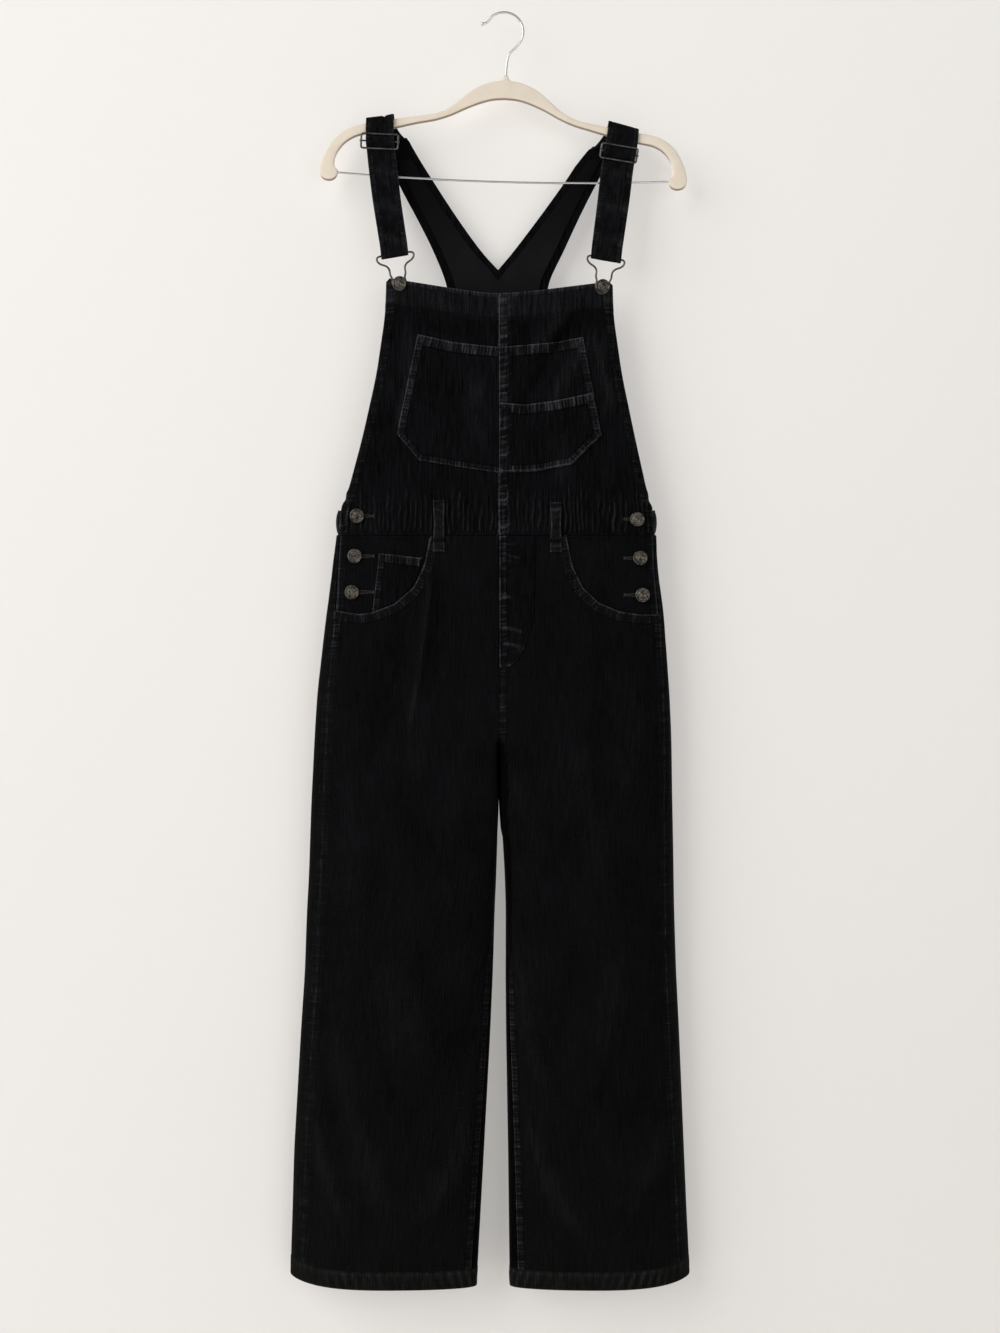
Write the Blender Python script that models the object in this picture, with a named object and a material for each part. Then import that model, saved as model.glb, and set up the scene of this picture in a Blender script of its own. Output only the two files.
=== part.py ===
"""Bib overalls of black corduroy on a clothes hanger.

The origin is the inside top of the hanger's hook. X runs to the right, Y into the wall
behind, Z up. Sizes are millimetres until a mesh is made, when MM turns them into metres.
Panels are sheets worked out from horizontal sections of the garment: every section has a
front line and a back line, each running from the centre (or the inseam) to the side.
"""

import math

import bpy
import numpy as np

MM = 0.001

# Driving sizes.
CLOTH = 1.5            # thickness of one layer of corduroy
SEAM_GAP = 0.3         # clear distance between two pieces at a seam
LIFT = 0.5             # clear distance below a piece that lies on a panel
WIRE = 2.4             # diameter of slider and bib hook wire
WAIST_Z = -634.5       # seam between bib and trousers
HEM_Z = -1541.0        # lower edge of the legs
HEM_TALL = 22.5
FORK_FRONT_Z = -877.0  # where the front parts into two legs
FORK_BACK_Z = -1000.0
CROTCH_Z = -1029.0     # lowest point of the crotch seam
BIB_TOP_Z = -342.6     # lowest point of the bib's sagging top edge
BIB_CORNER_RISE = {"left": 19.1, "right": 14.9}
HANGER_THICK = 7.0
HANGER_TILT = math.radians(1.63)
NECK = (3.6, -80.0)    # x and z where the hook leaves the hanger
STRAP_THICK = 2.0

for leftover in list(bpy.data.objects):
    bpy.data.objects.remove(leftover, do_unlink=True)


# Materials: name, base colour, roughness, metallic.
FINISHES = {
    "corduroy": ((0.010, 0.011, 0.014), 0.85, 0.0),
    "corduroy_trim": ((0.020, 0.021, 0.026), 0.85, 0.0),
    "dark_metal": ((0.10, 0.095, 0.09), 0.38, 1.0),
    "steel": ((0.62, 0.62, 0.62), 0.22, 1.0),
    "flock": ((0.74, 0.66, 0.54), 0.95, 0.0),
}


def finish(name):
    """The Principled material of one finish, made once."""
    found = bpy.data.materials.get(name)
    if found:
        return found
    colour, roughness, metallic = FINISHES[name]
    material = bpy.data.materials.new(name)
    material.use_nodes = True
    shader = material.node_tree.nodes["Principled BSDF"]
    shader.inputs["Base Color"].default_value = (*colour, 1.0)
    shader.inputs["Roughness"].default_value = roughness
    shader.inputs["Metallic"].default_value = metallic
    return material


def make_object(name, points, faces, material):
    """One mesh object from points in millimetres."""
    mesh = bpy.data.meshes.new(name)
    scaled = np.asarray(points, float) * MM
    mesh.from_pydata([tuple(point) for point in scaled], [], [tuple(face) for face in faces])
    mesh.validate()
    mesh.materials.append(finish(material))
    made = bpy.data.objects.new(name, mesh)
    bpy.context.scene.collection.objects.link(made)
    return made


def sheet(name, grid, thickness, material, outward, wrap=False):
    """A cloth wall: a grid of outer points, thickened inwards by Solidify.

    outward is a rough direction that the outer side faces at the grid's middle, and wrap
    joins the last column to the first, as on a tube.
    """
    grid = np.asarray(grid, float)
    rows, columns = grid.shape[:2]
    last = columns if wrap else columns - 1
    faces = []
    for row in range(rows - 1):
        for column in range(last):
            beside = (column + 1) % columns
            corner = row * columns
            below = corner + columns
            faces.append((corner + column, corner + beside, below + beside, below + column))
    row, column = rows // 2, columns // 2
    across = grid[row, (column + 1) % columns] - grid[row, column - 1]
    down = grid[min(row + 1, rows - 1), column] - grid[row - 1, column]
    if np.dot(np.cross(across, down), outward) < 0:
        faces = [face[::-1] for face in faces]
    made = make_object(name, grid.reshape(-1, 3), faces, material)
    wall = made.modifiers.new("wall", "SOLIDIFY")
    wall.thickness = thickness * MM
    wall.offset = -1.0
    made.data.shade_smooth()
    return made


def shell(name, outer, inner, material, outward, wrap=False):
    """A cloth wall between a grid of outer points and a grid of inner ones, with its rim."""
    outer, inner = np.asarray(outer, float), np.asarray(inner, float)
    rows, columns = outer.shape[:2]
    last = columns if wrap else columns - 1
    under = rows * columns
    faces = []
    for row in range(rows - 1):
        for column in range(last):
            corner, beside = row * columns + column, row * columns + (column + 1) % columns
            face = (corner, beside, beside + columns, corner + columns)
            faces.append(face)
            faces.append(tuple(point + under for point in face[::-1]))
    rim = [column for column in range(columns)]
    if wrap:
        foot = [(rows - 1) * columns + column for column in range(columns)]
        loops = [rim + rim[:1], (foot + foot[:1])[::-1]]
    else:
        rim += [row * columns + columns - 1 for row in range(1, rows)]
        rim += [(rows - 1) * columns + column for column in range(columns - 2, -1, -1)]
        rim += [row * columns for row in range(rows - 2, -1, -1)]
        loops = [rim]
    for loop in loops:
        faces += [(loop[k + 1], loop[k], loop[k] + under, loop[k + 1] + under)
                  for k in range(len(loop) - 1)]
    row, column = rows // 2, columns // 2
    across = outer[row, (column + 1) % columns] - outer[row, column - 1]
    down = outer[min(row + 1, rows - 1), column] - outer[row - 1, column]
    if np.dot(np.cross(across, down), outward) < 0:
        faces = [face[::-1] for face in faces]
    points = np.concatenate([outer.reshape(-1, 3), inner.reshape(-1, 3)])
    made = make_object(name, points, faces, material)
    made.data.shade_smooth()
    return made


# Horizontal sections. A row gives a height, the garment's edge (outer) and its centre or
# inner leg edge (inner) on one side, and how far in from the edge the side seam lies.
SIDE_ROWS = {
    "left": np.array([
        # height, outer, inner, seam_in
        (-334.0, -141.1, -5.05, 0.0),
        (-369.0, -142.7, -5.05, 0.0),
        (-442.0, -153.4, -5.05, 0.0),
        (-514.6, -169.6, -5.05, 0.0),
        (-587.0, -189.0, -5.05, 0.0),
        (-603.0, -197.0, -5.05, 0.0),
        (-634.5, -201.5, -5.05, 2.5),
        (-676.0, -207.0, -5.05, 6.0),
        (-731.0, -214.6, -5.05, 11.0),
        (-823.0, -225.5, -5.0, 14.5),
        (-878.0, -229.2, -3.9, 16.0),
        (-960.0, -233.4, -3.7, 16.3),
        (-1018.0, -235.3, -3.2, 16.5),
        (-1050.0, -236.5, -4.6, 16.5),
        (-1091.0, -238.9, -9.3, 16.5),
        (-1164.0, -241.4, -12.4, 16.5),
        (-1237.0, -246.3, -15.4, 16.5),
        (-1383.0, -254.8, -23.2, 16.5),
        (-1541.0, -259.3, -31.9, 16.5),
    ]),
    "right": np.array([
        (-334.0, 132.4, -4.75, 0.0),
        (-369.0, 133.6, -4.75, 0.0),
        (-442.0, 144.1, -4.75, 0.0),
        (-514.6, 159.3, -4.75, 0.0),
        (-587.0, 175.5, -4.75, 0.0),
        (-603.0, 181.5, -4.75, 0.0),
        (-634.5, 185.3, -4.75, 1.5),
        (-676.0, 187.4, -4.75, 2.5),
        (-731.0, 195.1, -4.75, 5.0),
        (-823.0, 202.4, -4.7, 9.0),
        (-878.0, 204.8, -3.6, 10.0),
        (-960.0, 206.2, -2.0, 11.4),
        (-1018.0, 207.3, -0.6, 12.0),
        (-1050.0, 207.8, 1.2, 12.5),
        (-1091.0, 208.5, 3.2, 13.0),
        (-1164.0, 210.9, 3.0, 14.0),
        (-1237.0, 214.6, 3.6, 14.0),
        (-1383.0, 220.7, 6.1, 14.0),
        (-1541.0, 227.6, 8.0, 14.0),
    ]),
}
HEIGHT, OUTER, INNER, SEAM_IN = range(4)

# Depth of the sections: the front's foremost y, the y of the side fold and of the inner
# fold, the back's y, and how square the front's inner and outer shoulders are.
DEPTH_ROWS = np.array([
    # height, front, side_fold, inner_fold, back, inner_square, outer_square
    (-334.0, -13.5, -10.5, -8.0, 13.0, 5.0, 2.4),
    (-478.0, -17.0, -11.0, -8.0, 15.0, 5.0, 2.2),
    (-587.0, -21.0, -9.0, -6.0, 17.0, 5.0, 2.2),
    (-634.5, -24.0, -5.0, -4.0, 18.0, 5.0, 2.1),
    (-731.0, -30.0, -3.0, -2.0, 19.5, 5.0, 2.0),
    (-878.0, -34.0, 1.0, 4.0, 20.5, 5.0, 1.9),
    (-1029.0, -36.0, 3.0, 2.0, 21.0, 4.0, 1.9),
    (-1164.0, -37.0, 5.0, -3.0, 21.0, 3.0, 1.8),
    (-1383.0, -38.0, 7.0, -9.0, 21.0, 2.5, 1.8),
    (-1541.0, -38.0, 8.0, -14.0, 21.0, 2.4, 1.8),
])
FRONT, SIDE_FOLD, INNER_FOLD, BACK, INNER_SQUARE, OUTER_SQUARE = range(1, 7)
BACK_SQUARE = 3.2


def read(table, column, height):
    """One column of a table at a height, straight between its rows."""
    return np.interp(-np.asarray(height, float), -table[:, 0], table[:, column])


def ramp(height, start, end):
    """0 above start, 1 below end, straight between them."""
    return float(np.clip((start - height) / (start - end), 0.0, 1.0))


def shoulder(square, count):
    """u from 0 to 1 and the height of a superellipse of that squareness over it."""
    angle = np.linspace(0.0, math.pi / 2, count)
    return np.sin(angle) ** (2 / square), np.cos(angle) ** (2 / square)


def face_line(side, height, back=False, count=40):
    """x and y along one face at a height, from the inner end to the side fold.

    Depth is the fold's y plus the face's rise times a superellipse. Above the fork the
    inner half stays level, and it sinks to the inner fold as the legs part.
    """
    rows = SIDE_ROWS[side]
    outer, inner = read(rows, OUTER, height), read(rows, INNER, height)
    side_fold, inner_fold = (read(DEPTH_ROWS, c, height) for c in (SIDE_FOLD, INNER_FOLD))
    if back:
        reach, parted = read(DEPTH_ROWS, BACK, height), ramp(height, FORK_BACK_Z, CROTCH_Z)
        squares = (BACK_SQUARE, BACK_SQUARE)
    else:
        reach, parted = read(DEPTH_ROWS, FRONT, height), ramp(height, FORK_FRONT_Z, CROTCH_Z)
        squares = tuple(read(DEPTH_ROWS, c, height) for c in (INNER_SQUARE, OUTER_SQUARE))
    u_in, level_in = shoulder(squares[0], count)
    u_out, level_out = shoulder(squares[1], count)
    u = np.concatenate([-u_in[::-1], u_out[1:]])
    level = np.concatenate([1 - parted * (1 - level_in[::-1]), level_out[1:]])
    x = inner + (outer - inner) * (u + 1) / 2
    fold = inner_fold + (side_fold - inner_fold) * (u + 1) / 2
    return x, fold + (reach - fold) * level


def lengths(line):
    """Distance along a line of points, from its first."""
    return np.concatenate([[0.0], np.cumsum(np.hypot(*np.diff(line, axis=0).T))])


def spaced(line, start, end, count):
    """count + 1 points evenly along a line between two distances."""
    distance = lengths(line)
    wanted = np.linspace(start, end, count + 1)
    return np.stack([np.interp(wanted, distance, line[:, k]) for k in (0, 1)], axis=1)


def away_from(line, start, end, count, turn):
    """Unit normals at the points of spaced; turn is 1 where the line runs to the right."""
    reach = 3.0
    ahead = spaced(line, start + reach, end + reach, count)
    behind = spaced(line, start - reach, end - reach, count)
    along = (ahead - behind) / np.linalg.norm(ahead - behind, axis=1)[:, None]
    return turn * np.stack([along[:, 1], -along[:, 0]], axis=1)


INSEAM_IN = {"left": 14.0, "right": 17.0}
INSEAM_FRONT_Z = -1150.0


def runs(side, height, columns_front, columns_back):
    """The front and back panels' points at a height, in order round the leg.

    A row holds x and y, then the normal's x and y. The front runs from its inner end to
    the side seam and the back from there round the fold to its inner end.
    """
    front = np.stack(face_line(side, height), axis=1)
    back = np.stack(face_line(side, height, back=True), axis=1)[::-1]
    whole = np.concatenate([front, back[1:]])
    distance = lengths(whole)
    front_length = lengths(front)[-1]
    inseam = INSEAM_IN[side] * ramp(height, CROTCH_Z, INSEAM_FRONT_Z)
    seam_in = read(SIDE_ROWS[side], SEAM_IN, height)
    outer = read(SIDE_ROWS[side], OUTER, height)
    inner = read(SIDE_ROWS[side], INNER, height)
    seam_x = outer - math.copysign(seam_in, outer - inner)
    middle = len(front) // 2
    order = slice(middle, len(front))
    side_seam = np.interp(abs(seam_x - inner), abs(front[order, 0] - inner), distance[order])
    gap = SEAM_GAP / 2 + 0.05
    turn = 1 if side == "right" else -1
    again = np.concatenate([whole, spaced(whole, 0.0, inseam + 8.0, 8)[1:]]) if inseam else whole
    parted_gap = gap if height <= CROTCH_Z else 0.0
    span = (inseam + parted_gap, min(side_seam, front_length) - gap, columns_front)
    first = np.hstack([spaced(whole, *span), away_from(whole, *span, turn)])
    span = (side_seam + gap, distance[-1] + inseam - parted_gap, columns_back)
    second = np.hstack([spaced(again, *span), away_from(again, *span, turn)])
    return first, second


def walls(points, height, thickness=CLOTH, out=0.0):
    """Outer and inner points of a wall from rows of runs, at one height or at a list."""
    heights = np.broadcast_to(np.asarray(height, float), len(points))
    outer = np.column_stack([points[:, :2] + out * points[:, 2:], heights])
    inner = np.column_stack([points[:, :2] + (out - thickness) * points[:, 2:], heights])
    return outer, inner


def front_depth(x, height):
    """y of the front's outer side at x and a height, for pieces that lie on it."""
    side = "left" if x < read(SIDE_ROWS["left"], INNER, height) else "right"
    line_x, line_y = face_line(side, height)
    order = np.argsort(line_x)
    return float(np.interp(x, line_x[order], line_y[order]))


def front_point(x, height, out=0.0):
    """A point of the front moved out along its normal."""
    step = 2.0
    slope_x = (front_depth(x + step, height) - front_depth(x - step, height)) / (2 * step)
    slope_z = (front_depth(x, height + step) - front_depth(x, height - step)) / (2 * step)
    normal = np.array([slope_x, -1.0, slope_z])
    normal /= np.linalg.norm(normal)
    return np.array([x, front_depth(x, height), height]) + out * normal


def lift_at(height, side, x):
    """How far the leg's lower edge rises towards the side fold."""
    rows = SIDE_ROWS[side]
    u = (x - read(rows, INNER, height)) / (read(rows, OUTER, height) - read(rows, INNER, height))
    return 7.5 * max(0.0, 2 * u - 1) ** 4


# Front and back legs. The front's top follows the waist seam and, from the pocket's
# inner end to the side, the curve of the pocket mouth.
MOUTH = {
    "left": np.array([(-87.0, -634.8), (-88.6, -643.0), (-95.1, -673.0), (-107.6, -699.0),
                      (-131.2, -720.0), (-158.9, -731.0), (-178.0, -733.5), (-205.0, -733.0)]),
    "right": np.array([(76.2, -634.8), (77.2, -643.0), (83.2, -673.0), (95.8, -699.3),
                       (115.1, -718.5), (140.1, -730.0), (167.7, -734.0), (192.0, -733.5)]),
}
LEG_TOP = WAIST_Z - SEAM_GAP
BLEND_Z = -800.0
UPPER_ROWS = 7
LOWER_HEIGHTS = (-800.0, -840.0, -877.0, -915.0, -953.0, -991.0, -1029.0, -1062.0, -1100.0,
                 -1150.0, -1205.0, -1290.0, -1375.0, -1450.0, HEM_Z + HEM_TALL + 3 * SEAM_GAP)
FRONT_COLUMNS = 13
BACK_COLUMNS = 12


def mouth_height(side, x):
    """Height of the panel's top at x: waist seam, then pocket mouth."""
    rows = MOUTH[side]
    return float(np.interp(abs(x), abs(rows[:, 0]), rows[:, 1]))


def column_top(side, column):
    """Top of one column of the front, found by following it to the mouth."""
    height = -700.0
    for _ in range(12):
        x = runs(side, height, FRONT_COLUMNS, 1)[0][column, 0]
        height = 0.5 * (height + min(mouth_height(side, x), LEG_TOP))
    return height


for side in ("left", "right"):
    outer_columns, inner_columns = [], []
    for column in range(FRONT_COLUMNS + 1):
        top = column_top(side, column)
        heights = np.array([*np.linspace(top, BLEND_Z, UPPER_ROWS + 1)[:-1], *LOWER_HEIGHTS])
        line = np.array([runs(side, height, FRONT_COLUMNS, 1)[0][column] for height in heights])
        heights[-1] += lift_at(heights[-1], side, line[-1, 0])
        outer, inner = walls(line, heights)
        outer_columns.append(outer)
        inner_columns.append(inner)
    shell(f"front_leg_{side}", np.swapaxes(outer_columns, 0, 1), np.swapaxes(inner_columns, 0, 1),
          "corduroy", (0, -1, 0))

    outer_rows, inner_rows = [], []
    for height in (*np.linspace(LEG_TOP, BLEND_Z, 5)[:-1], *LOWER_HEIGHTS):
        line = runs(side, height, 1, BACK_COLUMNS)[1]
        lifts = [lift_at(height, side, x) if height == LOWER_HEIGHTS[-1] else 0.0 for x in line[:, 0]]
        outer, inner = walls(line, height + np.array(lifts))
        outer_rows.append(outer)
        inner_rows.append(inner)
    shell(f"back_leg_{side}", outer_rows, inner_rows, "corduroy", (0, 1, 0))

    # The hem is the turned-up cloth at the leg's end, a ring of double thickness.
    outer_rows, inner_rows = [], []
    for height in (HEM_Z + HEM_TALL, HEM_Z + HEM_TALL / 2, HEM_Z):
        line = np.concatenate(runs(side, height, 18, 18))
        lifts = np.array([lift_at(height, side, x) for x in line[:, 0]])
        outer, inner = walls(line, height + lifts, 2 * CLOTH, 0.6)
        outer_rows.append(outer)
        inner_rows.append(inner)
    sideways = (-1, 0, 0) if side == "left" else (1, 0, 0)
    shell(f"leg_hem_{side}", outer_rows, inner_rows, "corduroy_trim", sideways, wrap=True)


# Side panels behind the pocket mouths, with the button side.
SIDE_PANEL_IN = CLOTH + 0.6
SIDE_PANEL_LOW = -744.0
SIDE_PANEL_X = {"left": -80.0, "right": 69.0}
for side in ("left", "right"):
    grid = []
    for height in np.linspace(LEG_TOP, SIDE_PANEL_LOW, 6):
        seam_x = runs(side, height, 1, 1)[0][-1, 0]
        across = np.linspace(SIDE_PANEL_X[side], seam_x - math.copysign(0.6, seam_x), 9)
        grid.append([front_point(x, height, -SIDE_PANEL_IN) for x in across])
    sheet(f"side_panel_{side}", grid, CLOTH, "corduroy", (0, -1, 0))


def overlay(name, left_edge, right_edge, top, bottom, thickness, out, columns, rows,
            material="corduroy_trim"):
    """A piece on the front: x between two edges, height between top and bottom lines.

    left_edge and right_edge are x at the top and at the bottom; top and bottom are rows
    of x and height.
    """
    top, bottom = np.array(top, float), np.array(bottom, float)
    grid = []
    for down in np.linspace(0.0, 1.0, rows + 1):
        line = []
        for across in np.linspace(0.0, 1.0, columns + 1):
            x_top = left_edge[0] + (right_edge[0] - left_edge[0]) * across
            x_low = left_edge[1] + (right_edge[1] - left_edge[1]) * across
            z_top = np.interp(x_top, top[:, 0], top[:, 1])
            z_low = np.interp(x_low, bottom[:, 0], bottom[:, 1])
            x = x_top + (x_low - x_top) * down
            line.append(front_point(x, z_top + (z_low - z_top) * down, out + thickness))
        grid.append(line)
    return sheet(name, grid, thickness, material, (0, -1, 0))


# Coin pocket on the left side panel: a straight top, and a lower edge along the mouth.
COIN_CLOTH = 1.1
COIN_IN = 1.6          # clear distance of its lower edge from the pocket mouth
COIN_TOP = ((-97.8, -663.5), (-149.4, -657.5))
COIN_LOW = ((-96.6, -663.9), (-101.5, -686.0), (-110.5, -701.5), (-122.0, -713.0),
            (-137.0, -722.0), (-155.5, -729.0))
coin_grid = []
for down in np.linspace(0.0, 1.0, 6):
    line = []
    for across, low in zip(np.linspace(0.0, 1.0, len(COIN_LOW)), COIN_LOW):
        high = np.array(COIN_TOP[0]) * (1 - across) + np.array(COIN_TOP[1]) * across
        x, height = high * (1 - down) + (np.array(low) + (-COIN_IN, COIN_IN)) * down
        line.append(front_point(x, height, LIFT + COIN_CLOTH - SIDE_PANEL_IN))
    coin_grid.append(line)
sheet("coin_pocket", coin_grid, COIN_CLOTH, "corduroy_trim", (0, -1, 0))


# Bib in two halves, joined at the centre.
BIB_HEIGHTS = (0.0, 0.12, 0.3, 0.5, 0.7, 0.86, 0.95, 1.0)
for side in ("left", "right"):
    grid = []
    for down in BIB_HEIGHTS:
        line = []
        for across in np.linspace(0.0, 1.0, 10):
            sag = BIB_TOP_Z + BIB_CORNER_RISE[side] * (math.hypot(across, 0.2) - 0.2) / 0.82
            height = sag + (WAIST_Z + SEAM_GAP - sag) * down
            x, y = face_line(side, height)
            limit = abs(x[-1] - x[0])
            if height < -603.0:
                limit -= read(SIDE_ROWS[side], SEAM_IN, height)
            at = x[0] + math.copysign(across * limit, x[-1] - x[0])
            line.append((at, np.interp(abs(at - x[0]), abs(x - x[0]), y), height))
        grid.append(line)
    sheet(f"bib_{side}", grid, CLOTH, "corduroy", (0, -1, 0))

CENTRE_X = -4.9
LEFT_OF_SEAM = CENTRE_X - SEAM_GAP / 2
RIGHT_OF_SEAM = CENTRE_X + SEAM_GAP / 2
overlay("bib_pocket_left", (-103.1, -127.9), (LEFT_OF_SEAM, LEFT_OF_SEAM),
        [(-103.1, -392.8), (-60.0, -402.8), (CENTRE_X, -408.5)],
        [(-127.9, -513.4), (-101.4, -545.4), (CENTRE_X, -560.5)], CLOTH, LIFT, 5, 6)
overlay("bib_pocket_right", (RIGHT_OF_SEAM, RIGHT_OF_SEAM), (96.5, 118.9),
        [(CENTRE_X, -408.5), (55.0, -403.5), (96.5, -396.4)],
        [(CENTRE_X, -560.5), (40.0, -559.0), (83.2, -550.9), (118.9, -514.7)], CLOTH, LIFT, 6, 6)
overlay("bib_pocket_small", (CENTRE_X + 0.9, CENTRE_X + 0.9), (107.4, 117.9),
        [(CENTRE_X, -475.8), (25.3, -478.5), (108.3, -464.2)],
        [(CENTRE_X, -559.3), (40.0, -558.0), (82.6, -550.0), (117.9, -514.0)],
        CLOTH, 2 * LIFT + CLOTH, 6, 4)
overlay("fly", (CENTRE_X + 0.6, CENTRE_X + 0.6), (38.4, 14.0),
        [(CENTRE_X, -637.0), (38.4, -637.0)], [(CENTRE_X, -795.8), (14.0, -790.0)],
        1.0, LIFT, 3, 8)

# Belt loops: strips from the bib over the waist seam to the trousers. LOOPS gives each
# one's left and right x and its top and bottom, LOOP_STAND its slack from top to bottom.
LOOPS = {"left": (-84.3, -70.3, -593.7, -655.8), "right": (56.5, 70.3, -596.1, -656.2)}
LOOP_STAND = (0.0, 1.2, 1.6, 1.4, 0.6, 0.0)
for side, (from_x, to_x, high, low) in LOOPS.items():
    grid = []
    for down, stand in zip(np.linspace(0.0, 1.0, len(LOOP_STAND)), LOOP_STAND):
        height = high + (low - high) * down
        grid.append([front_point(x, height, LIFT + CLOTH + stand)
                     for x in np.linspace(from_x, to_x, 3)])
    sheet(f"belt_loop_{side}", grid, CLOTH, "corduroy_trim", (0, -1, 0))


# Hanger: the body is an outline of one half, mirrored about the neck and tilted.
HANGER_HALF = (
    # distance from the neck, height: along the top, round the foot and back below
    (0.0, -76.0), (2.8, -76.2), (4.8, -80.5), (8.5, -82.6), (15.0, -83.6), (27.0, -87.5),
    (41.0, -95.0), (56.0, -107.0), (70.0, -118.0), (87.0, -125.0), (120.0, -130.0),
    (155.0, -136.0), (178.0, -141.0), (196.0, -149.5), (209.0, -161.5), (218.0, -177.0),
    (223.0, -192.0), (223.0, -202.0),
    (217.0, -208.5), (208.0, -209.0), (201.5, -203.0), (200.5, -196.0), (206.0, -190.0),
    (203.0, -177.0), (195.0, -165.0), (185.0, -157.5), (172.0, -153.5), (137.0, -145.0),
    (108.0, -137.5), (84.0, -132.5), (66.0, -127.0), (47.0, -117.5), (30.0, -110.5),
    (15.0, -106.3), (0.0, -105.0),
)


def tilted(distance, height):
    """A hanger point: turned about the neck by the tilt, right side down."""
    x = distance * math.cos(HANGER_TILT) + (height - NECK[1]) * math.sin(HANGER_TILT)
    z = (height - NECK[1]) * math.cos(HANGER_TILT) - distance * math.sin(HANGER_TILT)
    return NECK[0] + x, NECK[1] + z


outline = [tilted(distance, height) for distance, height in HANGER_HALF]
outline += [tilted(-distance, height) for distance, height in HANGER_HALF[-2:0:-1]]
around = len(outline)
body_points = [(x, y, z) for y in (-HANGER_THICK / 2, HANGER_THICK / 2) for x, z in outline]
body_faces = [tuple(range(around))[::-1], tuple(range(around, 2 * around))]
body_faces += [(k, (k + 1) % around, (k + 1) % around + around, k + around) for k in range(around)]
hanger = make_object("hanger_body", body_points, body_faces, "flock")
round_edges = hanger.modifiers.new("round", "BEVEL")
round_edges.width = 2.0 * MM
round_edges.segments = 2
round_edges.limit_method = "ANGLE"
round_edges.angle_limit = math.radians(60)


UPPER_POINTS = 17      # rows of HANGER_HALF along the top


def hanger_top(x):
    """Height of the hanger's upper edge at x."""
    upper = np.array(sorted(tilted(sign * distance, height) for sign in (-1, 1)
                            for distance, height in HANGER_HALF[:UPPER_POINTS]))
    return float(np.interp(x, upper[:, 0], upper[:, 1]))


def smooth_route(route, per_leg=4, closed=False):
    """A Catmull-Rom curve through the route's points."""
    route = np.array(route, float)
    count = len(route)
    made = []
    for k in range(count if closed else count - 1):
        if closed:
            before, start, end, after = (route[(k + j) % count] for j in (-1, 0, 1, 2))
        else:
            start, end = route[k], route[k + 1]
            before = route[k - 1] if k else 2 * start - end
            after = route[k + 2] if k + 2 < count else 2 * end - start
        for t in np.arange(per_leg) / per_leg:
            made.append(0.5 * (2 * start + (end - before) * t
                               + (2 * before - 5 * start + 4 * end - after) * t ** 2
                               + (3 * start - before - 3 * end + after) * t ** 3))
    if not closed:
        made.append(route[-1])
    return np.array(made)


def wire(name, route, diameter, material, closed=False):
    """A round wire along a route, as a curve with a bevel."""
    curve = bpy.data.curves.new(name, "CURVE")
    curve.dimensions = "3D"
    curve.bevel_depth = diameter / 2 * MM
    curve.bevel_resolution = 2
    curve.use_fill_caps = True
    spline = curve.splines.new("POLY")
    spline.points.add(len(route) - 1)
    for point, place in zip(spline.points, route):
        point.co = (*(np.asarray(place) * MM), 1.0)
    spline.use_cyclic_u = closed
    curve.materials.append(finish(material))
    made = bpy.data.objects.new(name, curve)
    bpy.context.scene.collection.objects.link(made)
    return made


# Hook: straight up from the neck, bent right, then an arc over the rod to its end. The
# arc's inner side touches the origin from above.
HOOK_WIRE = 3.0
HOOK_RADIUS = 23.5
ARC_CENTRE = (1.2, HOOK_WIRE / 2 - HOOK_RADIUS)
ARC_DEGREES = range(-40, 131, 15)
HOOK_STEM = ((3.6, -75.7), (4.3, -64.0), (5.4, -56.4), (6.6, -51.6), (9.4, -47.2), (15.0, -42.0))
HOOK_TIP = ((-18.6, -10.2), (-22.5, -12.0), (-26.8, -13.2))
arc = [(ARC_CENTRE[0] + HOOK_RADIUS * math.cos(math.radians(degree)),
        ARC_CENTRE[1] + HOOK_RADIUS * math.sin(math.radians(degree))) for degree in ARC_DEGREES]
hook_route = [(x, 0.0, z) for x, z in (*HOOK_STEM, *arc, *HOOK_TIP)]
wire("hanger_hook", smooth_route(hook_route, 2), HOOK_WIRE, "steel")

# Trouser bar: it hangs slack between the feet, its ends SEAM_GAP from their inner edges.
BAR_WIRE = 2.6
BAR_END = (200.5, -199.0)
BAR_SAG = 6.0
bar_from = np.array(tilted(-BAR_END[0], BAR_END[1]))
bar_to = np.array(tilted(*BAR_END))
bar_route = []
for along in np.linspace(0.0, 1.0, 13):
    x, height = bar_from + (bar_to - bar_from) * along
    bar_route.append((x, 0.0, height - 4 * BAR_SAG * along * (1 - along)))
wire("hanger_bar", bar_route, BAR_WIRE, "steel")


# Shoulder straps. A row gives a height, the strap's middle, half its width and its tilt.
STRAP_ROWS = {
    "left": np.array([
        # height, middle x, half width, tilt in degrees
        (-124.0, -149.0, 17.0, 9.0),
        (-150.0, -150.0, 17.0, -2.0),
        (-172.0, -147.5, 17.5, -2.0),
        (-225.0, -141.5, 17.0, 8.0),
        (-297.0, -130.2, 16.5, 9.9),
    ]),
    "right": np.array([
        (-134.0, 146.0, 18.5, -14.0),
        (-162.0, 144.0, 19.5, -10.0),
        (-184.0, 139.0, 19.5, -9.5),
        (-225.0, 134.5, 19.3, -9.0),
        (-302.0, 123.8, 18.4, -10.0),
    ]),
}
STRAP_CLEAR = {"left": 1.3, "right": 1.6}
STRAP_BEHIND = 20.0    # how far the strap reaches down behind the hanger
STRAP_DRIFT = {"left": 10.0, "right": -22.0}  # its sideways shift there, towards the arm
STRAP_LOW_Z = {"left": -295.6, "right": -299.9}  # middle of the fold round the bib hook's bar
SLIDER_Z = {"left": -160.0, "right": -173.3}
SLIDER_HALF = 8.8      # from the slider's middle bar to its outer bars
SLIDER_Y = -9.5
HOOK_Y = -14.2
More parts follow.
